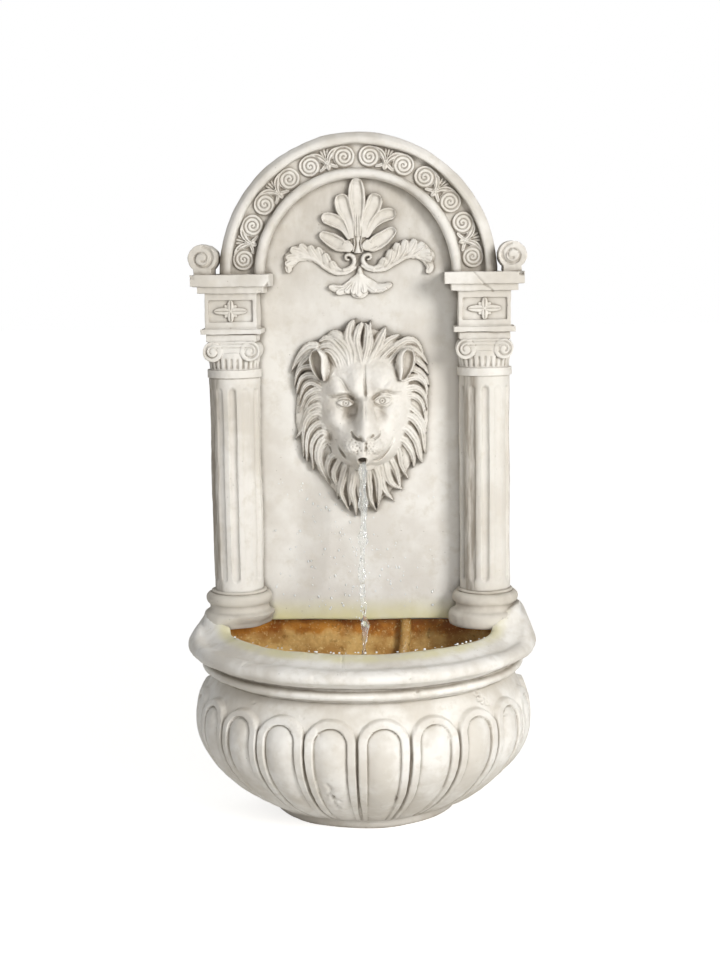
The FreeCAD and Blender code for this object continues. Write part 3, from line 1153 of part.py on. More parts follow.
def build_chamber():
    """The impeller chamber with its seal, its outlet barb, its inlet holes and its spigot."""
    middle = "Sizes.pump_offset"
    length = "Sizes.chamber_length"
    floor = f"({length} - Sizes.bush_floor)"
    cup = "(Sizes.bush_radius + Sizes.bush_cup)"
    groove = "Sizes.seal_section"
    turning = turned("chamber_turning", [
        ("Sizes.chamber_bore", "0"),
        (f"{SEAL_RING} - {groove}", "0"),
        (f"{SEAL_RING} - {groove}", f"2 * {groove}"),
        (f"{SEAL_RING} + {groove}", f"2 * {groove}"),
        (f"{SEAL_RING} + {groove}", "0"),
        (CHAMBER_RADIUS, "0"),
        (CHAMBER_RADIUS, length),
        (SPIGOT, length),
        (SPIGOT, f"{length} + Sizes.spigot_length"),
        (f"{SPIGOT} - Sizes.spigot_wall", f"{length} + Sizes.spigot_length"),
        (f"{SPIGOT} - Sizes.spigot_wall", length),
        ("0", length),
        ("0", floor),
        ("Sizes.bush_radius", floor),
        ("Sizes.bush_radius", f"{floor} - Sizes.bush_length"),
        (cup, f"{floor} - Sizes.bush_length"),
        (cup, f"{length} - Sizes.chamber_wall"),
        ("Sizes.chamber_bore", f"{length} - Sizes.chamber_wall"),
    ])
    place(turning, middle, depth(PUMP_NOSE), PUMP_AXIS, TO_FRONT)
    outlet_depth = depth(f"{PUMP_NOSE} + {length} / 2")
    outlet_top = f"({PUMP_AXIS} + {CHAMBER_RADIUS} + Sizes.outlet_height)"
    outlet_root = f"({PUMP_AXIS} + {CHAMBER_RADIUS} - 1)"
    barb = rod("chamber_barb", "Sizes.hose_bore - Sizes.loose_fit", f"{outlet_top} - {outlet_root}",
               middle, outlet_depth, outlet_root)
    water = rod("chamber_water", "Sizes.hose_bore - 1.5", f"{outlet_top} - {PUMP_AXIS}",
                middle, outlet_depth, PUMP_AXIS)
    tools = [water]
    count = int(size("inlet_count"))
    for index in range(count):
        angle = 2 * math.pi * (index + 0.5) / count
        tools.append(rod(f"inlet_hole_{index + 1}", "Sizes.inlet_radius", "2 * Sizes.chamber_wall",
                         f"{middle} + {round(math.cos(angle), 5)} * Sizes.inlet_offset",
                         depth(f"{CHAMBER_FRONT} - Sizes.chamber_wall * 1.5"),
                         f"{PUMP_AXIS} + {round(math.sin(angle), 5)} * Sizes.inlet_offset", TO_FRONT))
    tools.append(rod("dial_bore", "Sizes.dial_stem + Sizes.turning_fit", "Sizes.chamber_side + 2",
                     f"{middle} + Sizes.chamber_bore - 1", outlet_depth, PUMP_AXIS, ALONG_X))
    cuts = fuse("chamber_tools", *tools)
    keep(cut("impeller_chamber", fuse("chamber_blank", turning, barb), cuts), "impeller_chamber")
    seal = document.addObject("Part::Torus", "chamber_seal")
    seal.setExpression("Radius1", SEAL_RING)
    seal.setExpression("Radius2", f"{groove} - Sizes.turning_fit")
    place(seal, middle, depth(f"{PUMP_NOSE} + {groove}"), PUMP_AXIS, TO_FRONT)
    keep(seal, "chamber_seal")

    dial_x = f"{middle} + {CHAMBER_RADIUS}"
    stem = rod("dial_stem_rod", "Sizes.dial_stem", "Sizes.stem_length + Sizes.part_gap",
               f"{dial_x} - Sizes.stem_length", outlet_depth, PUMP_AXIS, ALONG_X)
    disc = rod("dial_disc", "Sizes.dial_radius", "Sizes.dial_thick",
               f"{dial_x} + Sizes.part_gap", outlet_depth, PUMP_AXIS, ALONG_X)
    grip = block("dial_grip", f"{dial_x} + Sizes.part_gap + 1.4 * Sizes.dial_thick", "0.8 * Sizes.dial_thick",
                 f"{PUMP_NOSE} + {length} / 2 - 1", f"{PUMP_NOSE} + {length} / 2 + 1",
                 f"{PUMP_AXIS} - 0.8 * Sizes.dial_radius", f"{PUMP_AXIS} + 0.8 * Sizes.dial_radius")
    keep(fuse("flow_dial", stem, disc, grip), "flow_dial")

    cover = turned("cover_turning", [
        (f"{CHAMBER_RADIUS} - Sizes.cover_wall", "0"),
        (CHAMBER_RADIUS, "0"),
        (CHAMBER_RADIUS, "Sizes.cover_length - 2"),
        (f"{CHAMBER_RADIUS} - 2", "Sizes.cover_length"),
        ("0", "Sizes.cover_length"),
        ("0", "Sizes.cover_length - Sizes.cover_wall"),
        (f"{CHAMBER_RADIUS} - Sizes.cover_wall", "Sizes.cover_length - Sizes.cover_wall"),
    ])
    place(cover, middle, depth(f"{CHAMBER_FRONT} + Sizes.part_gap"), PUMP_AXIS, TO_FRONT)
    slots = []
    for index in range(int(size("slot_count"))):
        offset = index - (size("slot_count") - 1) / 2
        slots.append(block(f"intake_slot_{index + 1}", f"{middle} + {offset} * 2 * Sizes.slot_width",
                           "Sizes.slot_width", f"{CHAMBER_FRONT} + Sizes.spigot_length + 2",
                           f"{CHAMBER_FRONT} + Sizes.cover_length + 2",
                           f"{PUMP_AXIS} - 0.6 * Sizes.chamber_bore",
                           f"{PUMP_AXIS} + 0.6 * Sizes.chamber_bore"))
    keep(cut("intake_cover", cover, group("intake_slots", *slots)), "intake_cover")


def build_rotor():
    """The magnet with its impeller on a fixed ceramic shaft between two rubber bushes."""
    middle = "Sizes.pump_offset"
    well_floor = f"({PUMP_NOSE} - Sizes.well_depth)"
    front_bush = f"({CHAMBER_FRONT} - Sizes.bush_floor - Sizes.bush_length)"
    keep(rod("rotor_shaft", "Sizes.shaft_pin_radius", f"{front_bush} + Sizes.bush_length - {well_floor}",
             middle, depth(well_floor), PUMP_AXIS, TO_FRONT), "rotor_shaft")
    bushes = []
    for name, start in (("bush_back", well_floor), ("bush_front", front_bush)):
        bushes.append(tube(name, "Sizes.bush_radius", "Sizes.shaft_pin_radius", "Sizes.bush_length",
                           middle, depth(start), PUMP_AXIS, TO_FRONT))
    keep(group("shaft_bushes", *bushes), "shaft_bushes")

    start = f"({well_floor} + Sizes.bush_length + Sizes.part_gap)"
    end = f"({front_bush} - Sizes.part_gap)"
    bore = "(Sizes.shaft_pin_radius + Sizes.turning_fit)"
    plate = f"({PUMP_NOSE} + 0.5 - {start})"
    hub = f"({bore} + 2.5)"
    magnet = turned("rotor_turning", [
        (bore, "0"),
        ("Sizes.rotor_radius", "0"),
        ("Sizes.rotor_radius", plate),
        ("Sizes.impeller_radius", plate),
        ("Sizes.impeller_radius", f"{plate} + Sizes.impeller_plate"),
        (hub, f"{plate} + Sizes.impeller_plate"),
        (hub, f"{end} - {start}"),
        (bore, f"{end} - {start}"),
    ])
    place(magnet, middle, depth(start), PUMP_AXIS, TO_FRONT)
    vane_back = f"{PUMP_NOSE} + 0.5"
    vane_front = f"{PUMP_NOSE} + 0.5 + Sizes.impeller_length"
    vanes = []
    for index, hand in enumerate((-1, 1)):
        centre = f"{middle} + {hand} * ({hub} + Sizes.impeller_radius - 1) / 2"
        vanes.append(block(f"vane_level_{index + 1}", centre, f"Sizes.impeller_radius - 1 - {hub} + 1",
                           vane_back, vane_front, f"{PUMP_AXIS} - Sizes.vane_thick / 2",
                           f"{PUMP_AXIS} + Sizes.vane_thick / 2"))
        inner = f"({hub} - 0.5)"
        outer = "(Sizes.impeller_radius - 0.5)"
        low = f"{PUMP_AXIS} + {inner}" if hand > 0 else f"{PUMP_AXIS} - {outer}"
        high = f"{PUMP_AXIS} + {outer}" if hand > 0 else f"{PUMP_AXIS} - {inner}"
        vanes.append(block(f"vane_upright_{index + 1}", middle, "Sizes.vane_thick", vane_back, vane_front,
                           low, high))
    keep(fuse("rotor", magnet, *vanes), "rotor")


def build_drain_plug():
    """The rubber plug in the basin's drain, with a flange and a finger grip."""
    plug = turned("drain_plug", [
        ("0", "0"),
        ("Sizes.plug_radius - Sizes.turning_fit - 1", "0"),
        ("Sizes.plug_radius - Sizes.turning_fit", "2"),
        ("Sizes.plug_radius - Sizes.turning_fit", "Sizes.basin_floor - 3 + Sizes.part_gap"),
        ("Sizes.plug_flange", "Sizes.basin_floor - 3 + Sizes.part_gap"),
        ("Sizes.plug_flange", "Sizes.basin_floor - 3 + Sizes.part_gap + Sizes.plug_flange_thick"),
        ("Sizes.plug_flange / 3", "Sizes.basin_floor - 2 + Sizes.part_gap + Sizes.plug_flange_thick"),
        ("Sizes.plug_flange / 4", "Sizes.basin_floor + 3 + Sizes.part_gap + Sizes.plug_flange_thick"),
        ("Sizes.plug_flange / 2", "Sizes.basin_floor + 5 + Sizes.part_gap + Sizes.plug_flange_thick"),
        ("Sizes.plug_flange / 2", "Sizes.basin_floor + 7 + Sizes.part_gap + Sizes.plug_flange_thick"),
        ("0", "Sizes.basin_floor + 7 + Sizes.part_gap + Sizes.plug_flange_thick"),
    ])
    place(plug, "-Sizes.plug_offset", depth("Sizes.plug_depth"), "3")
    keep(plug, "drain_plug")


build_spout()
build_riser_hose()
build_pump_body()
build_chamber()
build_rotor()
build_drain_plug()


def check_and_export():
    """Stop on any failed object or bad shape, then write one file per piece."""
    document.recompute()
    for thing in document.Objects:
        if "Invalid" in thing.State or "Error" in thing.State:
            raise RuntimeError(f"{thing.Name} is {thing.State}")
    for piece in kept:
        if piece.Shape.isNull() or not piece.Shape.isValid():
            raise RuntimeError(f"{piece.Label} has a bad shape")
    os.makedirs("parts", exist_ok=True)
    for piece in kept:
        piece.Shape.exportStep(f"parts/{piece.Label}.step")
        box = piece.Shape.BoundBox
        print(f"{piece.Label:22s} solids {len(piece.Shape.Solids)} volume {piece.Shape.Volume:10.0f}"
              f"  x {box.XMin:7.1f} {box.XMax:7.1f}  y {box.YMin:7.1f} {box.YMax:7.1f}"
              f"  z {box.ZMin:7.1f} {box.ZMax:7.1f}")


check_and_export()
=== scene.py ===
# Garden wall fountain, dressed: a cast stone basin and niche with a lion mask that spouts water.
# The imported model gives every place. Sizes here are millimetres, and a depth is measured from the wall.
import math

import bpy
import numpy as np
from mathutils import Matrix, Vector, noise


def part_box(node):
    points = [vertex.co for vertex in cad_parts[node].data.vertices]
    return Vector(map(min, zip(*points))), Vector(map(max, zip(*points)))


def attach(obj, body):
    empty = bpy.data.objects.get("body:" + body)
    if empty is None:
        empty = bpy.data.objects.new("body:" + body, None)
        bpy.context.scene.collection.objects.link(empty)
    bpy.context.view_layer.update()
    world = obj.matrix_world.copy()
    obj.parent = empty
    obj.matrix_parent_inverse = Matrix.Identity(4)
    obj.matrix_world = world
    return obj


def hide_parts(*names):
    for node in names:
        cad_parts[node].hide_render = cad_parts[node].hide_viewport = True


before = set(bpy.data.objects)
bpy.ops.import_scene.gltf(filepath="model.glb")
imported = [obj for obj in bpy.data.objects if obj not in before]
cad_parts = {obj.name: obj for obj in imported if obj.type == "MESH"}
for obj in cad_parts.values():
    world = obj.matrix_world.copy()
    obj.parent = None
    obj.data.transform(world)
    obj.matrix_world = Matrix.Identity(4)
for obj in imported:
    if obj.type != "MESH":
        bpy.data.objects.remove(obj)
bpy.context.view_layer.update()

# The basin's bowl: cast stone, half round, its outside modelled in twelve gadroons that rise from a plain
# foot. Each gadroon is a raised band with a round head round a swelling tongue. The bowl stands on its foot.
MM = 0.001


def end_of(node, corner, axis):
    """Where a CAD node's box ends, in mm: corner 0 is its low end and corner 1 its high end."""
    return round(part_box(node)[corner][axis] / MM, 1)


WALL = end_of("basin_bowl", 1, 1)
BASIN_TOP = end_of("basin_bowl", 1, 2)
RIM_RADIUS, RIM_CENTRE = 200, 50
FOOT_RADIUS, FOOT_CENTRE, FOOT_HEIGHT = 106, 10, 11
NECK_RADIUS, NECK_HEIGHT = 171, 170
BELLY_RADIUS, BELLY_HEIGHT = 188, 118
GADROONS = 12
GADROON_TOP, GADROON_HEAD = 156.5, 23
BAND_RISE, BAND_EDGE = 6.0, 1.2
TONGUE_TOP, TONGUE_HEAD, TONGUE_SHARE = 132, 16, 0.63
TONGUE_ROOT, TONGUE_SWELL = 2.0, 5.0


def smooth(low, high, value):
    """0 below low, 1 above high and a soft step between."""
    share = np.clip((value - low) / (high - low), 0, 1)
    return share * share * (3 - 2 * share)


def points_of(piece):
    """The vertices of a piece in mm, one row each."""
    flat = np.empty(len(piece.data.vertices) * 3)
    piece.data.vertices.foreach_get("co", flat)
    return flat.reshape(-1, 3) / MM


def set_points(piece, points):
    """Puts a piece's vertices at points in mm."""
    piece.data.vertices.foreach_set("co", (np.asarray(points) * MM).ravel())
    piece.data.update()


def normals_of(piece):
    """The vertex normals of a piece, one row each."""
    flat = np.empty(len(piece.data.vertices) * 3)
    piece.data.vertex_normals.foreach_get("vector", flat)
    return flat.reshape(-1, 3)


def take(piece):
    """Selects one piece alone and makes it active."""
    bpy.ops.object.select_all(action="DESELECT")
    piece.select_set(True)
    bpy.context.view_layer.objects.active = piece


def edit(piece, everything=False):
    """Opens a piece in edit mode with nothing selected, or with everything."""
    take(piece)
    bpy.ops.object.mode_set(mode="EDIT")
    bpy.ops.mesh.select_mode(type="VERT")
    bpy.ops.mesh.select_all(action="SELECT" if everything else "DESELECT")


def done():
    """Closes edit mode."""
    bpy.ops.object.mode_set(mode="OBJECT")


def modify(piece, kind, **settings):
    """Applies one modifier to a piece."""
    take(piece)
    modifier = piece.modifiers.new(kind.lower(), kind)
    for key, value in settings.items():
        setattr(modifier, key, value)
    bpy.ops.object.modifier_apply(modifier=modifier.name)


def named(name):
    """Names the object that was just made, and its mesh."""
    piece = bpy.context.object
    piece.name = name
    piece.data.name = name
    return piece


def new_grid(name, columns, rows):
    """A grid primitive, and the share across and up of each of its vertices."""
    bpy.ops.object.select_all(action="DESELECT")
    bpy.ops.mesh.primitive_grid_add(x_subdivisions=columns, y_subdivisions=rows, size=2)
    piece = named(name)
    spread = points_of(piece) * MM
    return piece, (spread[:, 0] + 1) / 2, (spread[:, 1] + 1) / 2


def close_up(piece):
    """Merges a seam's doubles, fills every open end and turns the faces outwards."""
    edit(piece, everything=True)
    bpy.ops.mesh.remove_doubles(threshold=0.00001)
    bpy.ops.mesh.select_all(action="SELECT")
    bpy.ops.mesh.fill_holes(sides=0)
    bpy.ops.mesh.select_all(action="SELECT")
    bpy.ops.mesh.normals_make_consistent(inside=False)
    done()


def weather(piece, *waves, where=None):
    """Hand-finished unevenness: for each wave of a depth, a size and a seed, in mm, the surface moves along
    its normals by smooth noise."""
    for depth, size, seed in waves:
        points = points_of(piece)
        shift = Vector((seed, seed * 0.7, -seed))
        lift = np.array([noise.noise(Vector(point) / size + shift) for point in points]) * depth
        if where is not None:
            lift *= where(points)
        set_points(piece, points + normals_of(piece) * lift[:, None])


def bowl_centre(radius):
    """Depth of the centre of the bowl's circle: the bowl leans to the wall at its foot."""
    return FOOT_CENTRE + (RIM_CENTRE - FOOT_CENTRE) / (RIM_RADIUS - FOOT_RADIUS) * (radius - FOOT_RADIUS)


def bowl_radius(height):
    """The bowl's radius in the valleys between the gadroons."""
    under = np.clip((BELLY_HEIGHT - height) / (BELLY_HEIGHT - FOOT_HEIGHT), 0, 1)
    over = np.clip((height - BELLY_HEIGHT) / (NECK_HEIGHT - BELLY_HEIGHT), 0, 1)
    return (BELLY_RADIUS - (BELLY_RADIUS - FOOT_RADIUS - 3) * under ** 1.9
            - (BELLY_RADIUS - NECK_RADIUS) * over ** 2)


def gadroon(share, height, radius, half_turn):
    """How far the carving of the bowl stands out of it, in mm."""
    lobe = share * GADROONS % 1 * 2 - 1
    band_half = radius * half_turn / GADROONS
    head = np.clip((height - (GADROON_TOP - GADROON_HEAD)) / GADROON_HEAD, 0, None)
    outer = np.hypot(lobe, head)
    inner = np.hypot(lobe / TONGUE_SHARE, np.clip((height - TONGUE_TOP) / TONGUE_HEAD, 0, None))
    edge = BAND_EDGE / band_half
    band = BAND_RISE * (1 - smooth(1 - 1.9 * edge, 1 - 0.1 * edge, outer))
    tongue = TONGUE_ROOT + TONGUE_SWELL * (1 - np.clip(inner, 0, 1) ** 2.4)
    carved = band + (tongue - band) * (1 - smooth(0.97, 1.06, inner))
    carved = np.where(outer < 1, carved, 0)
    return carved * smooth(FOOT_HEIGHT, FOOT_HEIGHT + 4, height) * np.clip(band_half / 22, 0.6, 1)


def sweep_bowl(name, section, shares, carve=False):
    """Carries a closed section (radius, height, carving) round the bowl from wall to wall."""
    section = np.array(section, float)
    piece, across, along = new_grid(name, len(shares) - 1, len(section))
    radius, height, depth = section[np.rint(along * len(section)).astype(int) % len(section)].T
    share = np.array(shares)[np.rint(across * (len(shares) - 1)).astype(int)]
    centre = bowl_centre(radius)
    half_turn = math.pi / 2 + np.arcsin(centre / radius)
    reach = radius.copy()
    if carve:
        reach += depth * gadroon(share, height, radius, half_turn)
    angle = half_turn * (2 * share - 1)
    y = WALL - centre - reach * np.cos(angle)
    y[(share < 1e-6) | (share > 1 - 1e-6)] = WALL
    set_points(piece, np.column_stack([reach * np.sin(angle), y, height]))
    close_up(piece)
    return piece


def stand_in(piece, slot, *nodes, body="fountain"):
    """The piece rides on its body and stands for CAD nodes, which it hides; slot is not used."""
    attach(piece, body)
    if nodes:
        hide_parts(*nodes)


def crack(points, facing, path, width, depth):
    """How deep a crack along a path of (x, z) cuts at each of the points."""
    cut = np.zeros(len(points))
    for (x0, z0), (x1, z1) in zip(path, path[1:]):
        run = np.array([x1 - x0, z1 - z0])
        share = np.clip(((points[:, 0] - x0) * run[0] + (points[:, 2] - z0) * run[1]) / (run @ run), 0, 1)
        away = np.hypot(points[:, 0] - x0 - share * run[0], points[:, 2] - z0 - share * run[1])
        cut = np.maximum(cut, np.clip(1 - away / width, 0, 1))
    return cut * depth * facing


def chip(points, place, radius, depth):
    """How deep a chip with a ragged edge cuts round a place at each of the points."""
    away = np.linalg.norm(points - np.array(place), axis=1)
    near = away < radius * 1.6
    ragged = np.zeros(len(points))
    ragged[near] = [noise.noise(Vector(point) / 3.1) for point in points[near]]
    return depth * np.clip(1 - (away / radius) ** 2 + 1.1 * ragged * near, 0, 1) * near


def cracks(piece, facing, *lines):
    """Sinks cracks into a piece where facing(normals) lets them: a path, a width and a depth for each."""
    points, normals = points_of(piece), normals_of(piece)
    for path, width, depth in lines:
        points -= normals * crack(points, facing(normals), path, width, depth)[:, None]
    set_points(piece, points)


def scars(piece, *marks):
    """Sinks chips into a piece: each mark is x, depth and z in mm, then its radius and depth."""
    points, normals = points_of(piece), normals_of(piece)
    for x, depth, z, radius, sink in marks:
        points -= normals * chip(points, (x, WALL - depth, z), radius, sink)[:, None]
    set_points(piece, points)


def make_bowl():
    """The bowl's shell, with its rows closer together where the gadroons' heads are."""
    rise = np.linspace(FOOT_HEIGHT, NECK_HEIGHT, 600)
    run = bowl_radius(rise)
    length = np.concatenate([[0], np.cumsum(np.hypot(np.diff(rise), np.diff(run)))])
    heads = np.interp(TONGUE_TOP - 4, rise, length)
    steps = np.concatenate([np.linspace(0, heads, 84)[:-1], np.linspace(heads, length[-1], 56)])
    heights = np.interp(steps, length, rise)
    section = [(96, 0, 0), (104, 0, 0), (105.6, 0.6, 0), (106, 2, 0), (106.2, 8, 0),
               (107, FOOT_HEIGHT - 0.4, 0)]
    section += [(bowl_radius(height), height, 1) for height in heights]
    section += [(160, NECK_HEIGHT, 0), (171, 150, 0), (175, BELLY_HEIGHT, 0), (166, 80, 0), (144, 50, 0),
                (112, 22, 0), (98, 14, 0)]
    half_lobe = np.concatenate([np.linspace(0, 0.52, 8)[:-1], np.linspace(0.52, 0.72, 9)[:-1],
                                np.linspace(0.72, 0.86, 3)[:-1], np.linspace(0.86, 1, 7)])
    lobe = np.concatenate([-half_lobe[::-1], half_lobe[1:]])
    shares = [0.0]
    for index in range(GADROONS):
        shares += [(index + (place + 1) / 2) / GADROONS for place in lobe[1:]]
    bowl = sweep_bowl("basin_gadroons", section, shares, carve=True)
    weather(bowl, (1.4, 60, 0), (0.35, 9, 0), where=lambda p: (p[:, 1] < WALL - 2) * (p[:, 2] > 0.5))
    cracks(bowl, lambda normals: smooth(0.1, -0.4, normals[:, 1]),
           ([(-33, 86), (-29, 80), (-30, 72), (-26, 64), (-27, 56), (-23, 49)], 2.8, 2.6),
           ([(-30, 72), (-35, 68)], 2.2, 1.6), ([(-26, 64), (-20, 61)], 2.2, 1.8),
           ([(38, 72), (41, 65), (39, 61)], 1.6, 0.9),
           ([(-42, 147), (-39, 141)], 1.8, 1.2), ([(92, 140), (97, 133), (95, 128)], 1.8, 1.2))
    scars(bowl, (-27, 206, 71, 7, 2.4), (-24, 184, 51, 5, 1.8), (128, 155, 167, 5, 1.6),
          (132, 156, 161, 6, 1.8), (138, 152, 156, 5, 1.4), (156, 142, 139, 7, 1.8), (150, 148, 128, 6, 1.4),
          (-60, 214, 158, 4, 1.4), (-35, 222, 118, 3.5, 1.2), (10, 230, 152, 3, 1.0),
          (-128, 160, 150, 5, 1.5), (-112, 172, 160, 4, 1.2))
    return bowl


def linear(code):
    """An sRGB hex colour as the linear one that Blender wants."""
    parts = [int(code[place:place + 2], 16) / 255 for place in (0, 2, 4)]
    return [part / 12.92 if part <= 0.04045 else ((part + 0.055) / 1.055) ** 2.4 for part in parts] + [1.0]


def add(tree, kind, inputs=None, **settings):
    """Adds a node with its settings; an input is a value or another node's output."""
    made = tree.nodes.new(kind)
    for key, value in settings.items():
        setattr(made, key, value)
    for name, value in (inputs or {}).items():
        if isinstance(value, bpy.types.NodeSocket):
            tree.links.new(value, made.inputs[name])
        else:
            made.inputs[name].default_value = value
    return made


def blank(name, **surface):
    """A material with its shader, the tree to build it in, and the place on the piece that is shaded."""
    material = bpy.data.materials.new(name)
    material.use_nodes = True
    tree = material.node_tree
    shader = tree.nodes["Principled BSDF"]
    for socket, value in surface.items():
        shader.inputs[socket.replace("_", " ")].default_value = value
    return material, tree, shader, add(tree, "ShaderNodeTexCoord").outputs["Object"]


def combine(tree, operation, first, second):
    """Two numbers or outputs, put together by a math operation."""
    return add(tree, "ShaderNodeMath", {0: first, 1: second}, operation=operation).outputs[0]


def stretched(tree, place, factors):
    """A place multiplied by a factor along each axis."""
    return add(tree, "ShaderNodeVectorMath", {0: place, 1: factors}, operation="MULTIPLY").outputs[0]


def coordinate(tree, place, axis):
    """One coordinate of a place in metres: 0 runs across, 1 to the wall and 2 up."""
    return add(tree, "ShaderNodeSeparateXYZ", {0: place}).outputs[axis]


def mixed(tree, factor, first, second):
    """A mix of two colours or outputs."""
    return add(tree, "ShaderNodeMix", {0: factor, 6: first, 7: second}, data_type="RGBA").outputs[2]


def ramp(tree, value, low, high, start=0.0, end=1.0):
    """A number stretched from one range to another and held there."""
    return add(tree, "ShaderNodeMapRange", {0: value, 1: low, 2: high, 3: start, 4: end},
               interpolation_type="SMOOTHSTEP").outputs[0]


def patches(tree, place, size, detail=4, roughness=0.6):
    """Noise whose patches are about that many mm across."""
    return add(tree, "ShaderNodeTexNoise", {"Vector": place, "Scale": 1 / (size * MM), "Detail": detail,
                                            "Roughness": roughness}).outputs["Fac"]


def mottled(tree, place, size, low, high, start=0.0, end=1.0, detail=4, roughness=0.6):
    """A soft mask of patches some mm across: start where their noise is low, end where it is high."""
    return ramp(tree, patches(tree, place, size, detail, roughness), low, high, start, end)


def roughen(tree, shader, height, strength, distance, invert=False):
    """Adds relief some mm high to a shader, on top of any that it has."""
    normal = shader.inputs["Normal"]
    made = add(tree, "ShaderNodeBump", {"Height": height, "Strength": strength, "Distance": distance * MM},
               invert=invert)
    if normal.links:
        tree.links.new(normal.links[0].from_socket, made.inputs["Normal"])
    tree.links.new(made.outputs[0], normal)


# wash is the brown-grey of the pits and of the painted shade in the hollows; reach and catch set how far that
# painted shade reaches and where it starts.
def cast_stone(name, light="EDEBE6", mid="D6D1C8", wash="7C7468", reach=7, corner_shade_strength=0.5, catch=0.90, tint=None):
    """Cast stone under an ivory limewash: chalky and matt, with sand grain and a few burst air bubbles. A
    thin brown-grey wash in its hollows is deepened by ambient occlusion into painted shade, and a broader
    painted shade darkens its corners. tint(tree, place) gives a mask and a colour."""
    material, tree, shader, place = blank(name, Roughness=0.86, IOR=1.5)
    colour = mixed(tree, mottled(tree, place, 70, 0.38, 0.64), linear(light), linear(mid))
    streaks = mottled(tree, place, 14, 0.48, 0.72, 0.0, 0.5, 5, 0.65)
    colour = mixed(tree, streaks, colour, linear("D0CABE"))
    if tint:
        mask, shade = tint(tree, place)
        colour = mixed(tree, mask, colour, shade)
    # Painted shade: ambient occlusion darkens the hollows towards the wash colour, partly a real wash and
    # mostly shade.
    hollow = add(tree, "ShaderNodeAmbientOcclusion", {"Distance": reach * MM}, samples=12)
    hollow_wash_and_shade = combine(tree, "MULTIPLY", ramp(tree, hollow.outputs["AO"], catch, 0.38),
                     mottled(tree, place, 18, 0.25, 0.7, 0.5, 1.0))
    colour = mixed(tree, combine(tree, "MULTIPLY", hollow_wash_and_shade, 0.9), colour, linear(wash))
    specks = add(tree, "ShaderNodeTexVoronoi", {"Scale": 1 / (7 * MM), "Vector": place}, feature="F1")
    pits = combine(tree, "MULTIPLY", ramp(tree, specks.outputs["Distance"], 0.05, 0.11, 1.0, 0.0),
                   mottled(tree, place, 25, 0.52, 0.62, detail=2, roughness=0.5))
    colour = mixed(tree, combine(tree, "MULTIPLY", pits, 0.45), colour, linear(wash))
    # Painted shade: a broad ambient occlusion darkens corners and recesses towards A0978A.
    broad = add(tree, "ShaderNodeAmbientOcclusion", {"Distance": 30 * MM}, samples=8)
    colour = mixed(tree, ramp(tree, broad.outputs["AO"], 0.80, 0.25, 0.0, corner_shade_strength), colour, linear("A0978A"))
    tree.links.new(colour, shader.inputs["Base Color"])
    roughen(tree, shader, patches(tree, place, 1.6, 4, 0.7), 0.22, 0.4)
    roughen(tree, shader, patches(tree, place, 22, 3, 0.5), 0.35, 1.2)
    roughen(tree, shader, pits, 0.8, 0.6, invert=True)
    return material


def dress(piece, material, sharp=None):
    """Gives a piece one material and smooth shading, but for edges sharper than an angle in degrees."""
    piece.data.materials.clear()
    piece.data.materials.append(material)
    take(piece)
    bpy.ops.object.shade_smooth()
    if sharp:
        bpy.ops.object.shade_smooth_by_angle(angle=math.radians(sharp))


bowl = make_bowl()
stone = cast_stone("limewashed_cast_stone", reach=5.5)
dress(bowl, stone, sharp=70)
stand_in(bowl, "cast_stone", "basin_bowl")


# The rim and the lining: the same casting goes on over the bowl's neck as a bead, a round moulding and a
# sloping top with a rolled lip. Inside it is sealed with an amber pool varnish that the water keeps wet.
SEAT_RADIUS = 41
RIM_END, LINING_END = 0.4, 5
LEFT_SWEEP, RIGHT_SWEEP = 15, 25
COLUMN_X = (end_of("capital_right", 0, 0) + end_of("capital_right", 1, 0)) / 2
SHAFT_RADIUS = COLUMN_X - end_of("column_shaft_right", 0, 0)
COLUMN_DEPTH = WALL - end_of("column_shaft_right", 0, 1) - SHAFT_RADIUS


